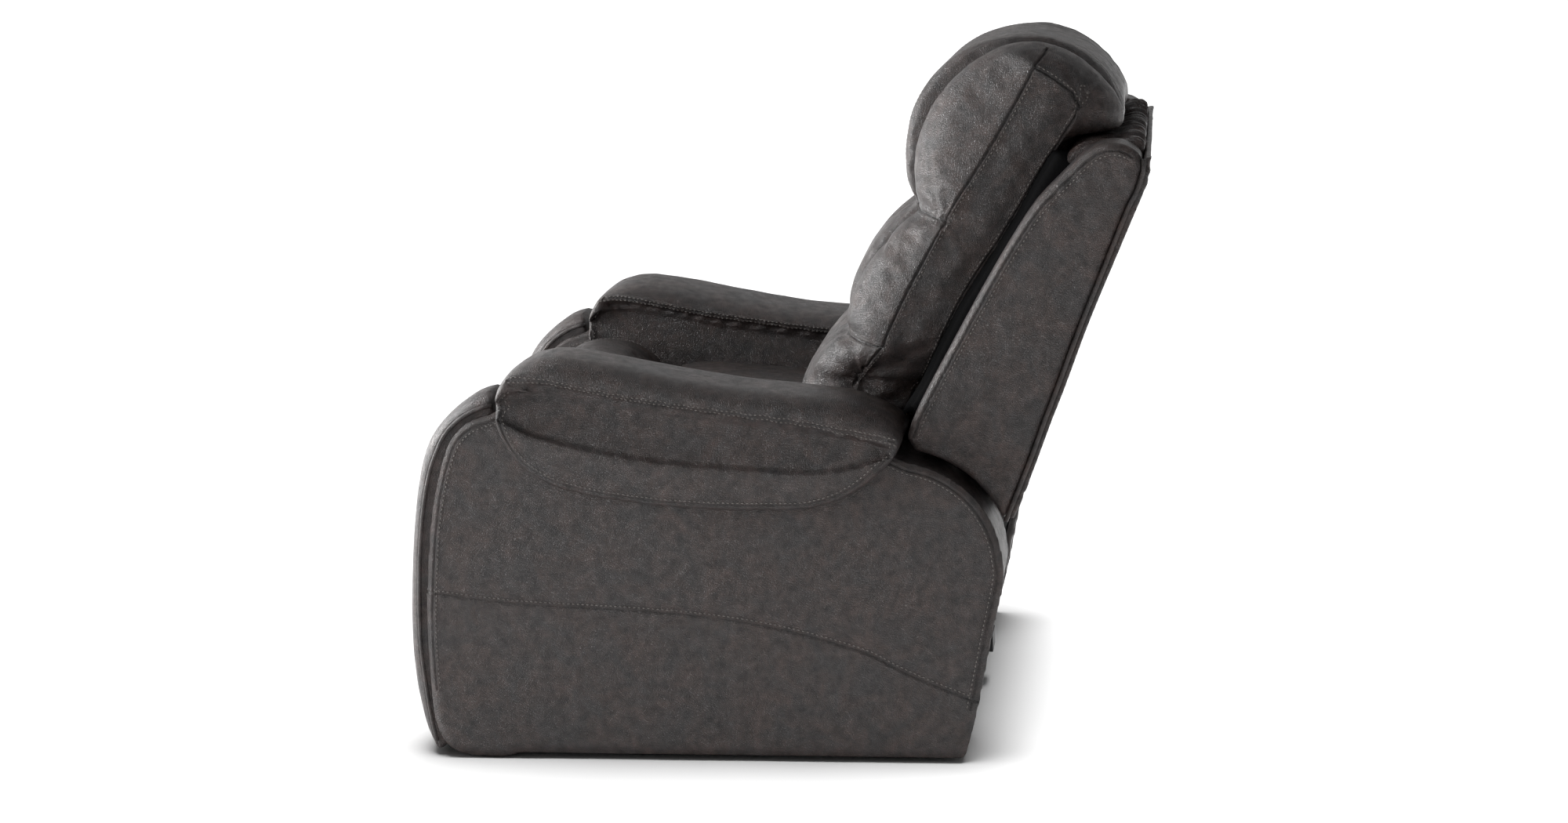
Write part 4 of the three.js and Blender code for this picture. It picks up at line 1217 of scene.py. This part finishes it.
class RECLINER_OT_studio(bpy.types.Operator):
    """Pale floor, soft lights and the camera"""

    bl_idname = "recliner.studio"
    bl_label = "Studio"

    def execute(self, context):
        room = context.scene.recliner_room
        bm = bmesh.new()
        bmesh.ops.create_grid(bm, x_segments=1, y_segments=1, size=40)
        mesh = bpy.data.meshes.new("floor")
        bm.to_mesh(mesh)
        bm.free()
        floor = bpy.data.objects.new("floor", mesh)
        context.scene.collection.objects.link(floor)
        material, tree, shader = start_material("painted_studio_floor_matte")
        shade = room.floor_shade
        place = add_node(tree, "ShaderNodeTexCoord").outputs["Object"]
        patch = add_node(tree, "ShaderNodeTexNoise", {"Scale": 1.5, "Detail": 3}, {"Vector": place})
        tone = add_node(tree, "ShaderNodeMapRange", {"To Min": shade - 0.01, "To Max": shade + 0.01},
                        {"Value": patch.outputs["Fac"]})
        tree.links.new(tone.outputs["Result"], shader.inputs["Base Color"])
        shader.inputs["Roughness"].default_value = 0.9
        shader.inputs["Specular IOR Level"].default_value = 0.1
        mesh.materials.append(material)

        world = bpy.data.worlds.new("soft_white_room")
        world.use_nodes = True
        world.node_tree.nodes["Background"].inputs["Color"].default_value = (1, 1, 1, 1)
        world.node_tree.nodes["Background"].inputs["Strength"].default_value = room.room_light
        context.scene.world = world
        context.scene.view_settings.view_transform = "Standard"
        ceiling = bpy.data.lights.new("ceiling", "SUN")
        ceiling.energy = room.ceiling
        ceiling.angle = math.radians(34)
        lamp = bpy.data.objects.new("ceiling", ceiling)
        context.scene.collection.objects.link(lamp)
        light_floor(lamp, floor, True)
        shade_floor(lamp, 0.66)
        lights = (("key", (-0.5, -3.3, 1.25), (0, 0, 0.8), 4.2, 2.2, room.key_power),
                  ("top", (-0.4, -0.9, 3.4), (0, 0, 0.5), 2.2, 1.6, room.key_power * 0.09),
                  ("fill", (4.2, -1.2, 3.0), (0, 0, 0.6), 3.0, 2.0, room.key_power * 0.17),
                  ("backdrop", (-4.2, -0.2, 1.9), (0, 0, 0.9), 6.0, 3.2, room.key_power * 0.09))
        for name, spot, aim, wide, tall, power in lights:
            data = bpy.data.lights.new(name, "AREA")
            data.shape = "RECTANGLE"
            data.size = wide
            data.size_y = tall
            data.energy = power
            lamp = bpy.data.objects.new(name, data)
            lamp.location = spot
            lamp.rotation_euler = (Vector(aim) - Vector(spot)).to_track_quat("-Z", "Y").to_euler()
            lamp.visible_camera = False
            context.scene.collection.objects.link(lamp)
            light_floor(lamp, floor, False)

        data = bpy.data.cameras.new("camera")
        data.sensor_width = 36
        data.lens = 67.32
        camera = bpy.data.objects.new("camera", data)
        right, up, back = CAMERA_TURN
        turn = Matrix((right, up, back)).transposed().to_4x4()
        turn.translation = CAMERA_SPOT
        camera.matrix_world = turn
        context.scene.collection.objects.link(camera)
        context.scene.camera = camera
        return {"FINISHED"}


CAMERA_SPOT = (4.79515, 0.61028, 1.42029)
CAMERA_TURN = ((-0.12689353, 0.99150224, -0.02865901), (-0.19528082, 0.00335573, 0.98074163),
               (0.97250369, 0.13004632, 0.19319555))


# ---- Panel ----
class RECLINER_PT_build(bpy.types.Panel):
    """Steps that build the recliner"""

    bl_label = "Recliner"
    bl_idname = "RECLINER_PT_build"
    bl_space_type = "VIEW_3D"
    bl_region_type = "UI"
    bl_category = "Recliner"

    def draw(self, context):
        layout = self.layout
        for group in ("recliner_leather", "recliner_padding", "recliner_room"):
            settings = getattr(context.scene, group)
            for key in settings.__annotations__:
                layout.prop(settings, key)
        for step in STEPS:
            layout.operator(step.bl_idname)


# The studio comes last, as its floor shadow is cast by the finished pieces
STEPS = (RECLINER_OT_hard_parts, RECLINER_OT_side_panels, RECLINER_OT_arm_facings, RECLINER_OT_arm_pads,
         RECLINER_OT_seat, RECLINER_OT_footrest, RECLINER_OT_back_wings, RECLINER_OT_back_shell,
         RECLINER_OT_back_cushions, RECLINER_OT_back_gutters, RECLINER_OT_studio)
GROUPS = {"recliner_leather": RECLINER_PG_leather, "recliner_padding": RECLINER_PG_padding,
          "recliner_room": RECLINER_PG_room}


def register():
    for group in GROUPS.values():
        bpy.utils.register_class(group)
    for name, group in GROUPS.items():
        setattr(bpy.types.Scene, name, bpy.props.PointerProperty(type=group))
    for step in STEPS:
        bpy.utils.register_class(step)
    bpy.utils.register_class(RECLINER_PT_build)


def unregister():
    bpy.utils.unregister_class(RECLINER_PT_build)
    for step in reversed(STEPS):
        bpy.utils.unregister_class(step)
    for name, group in GROUPS.items():
        delattr(bpy.types.Scene, name)
        bpy.utils.unregister_class(group)


def main():
    register()
    for step in STEPS:
        family, name = step.bl_idname.split(".")
        getattr(getattr(bpy.ops, family), name)()


if __name__ == "__main__":
    main()
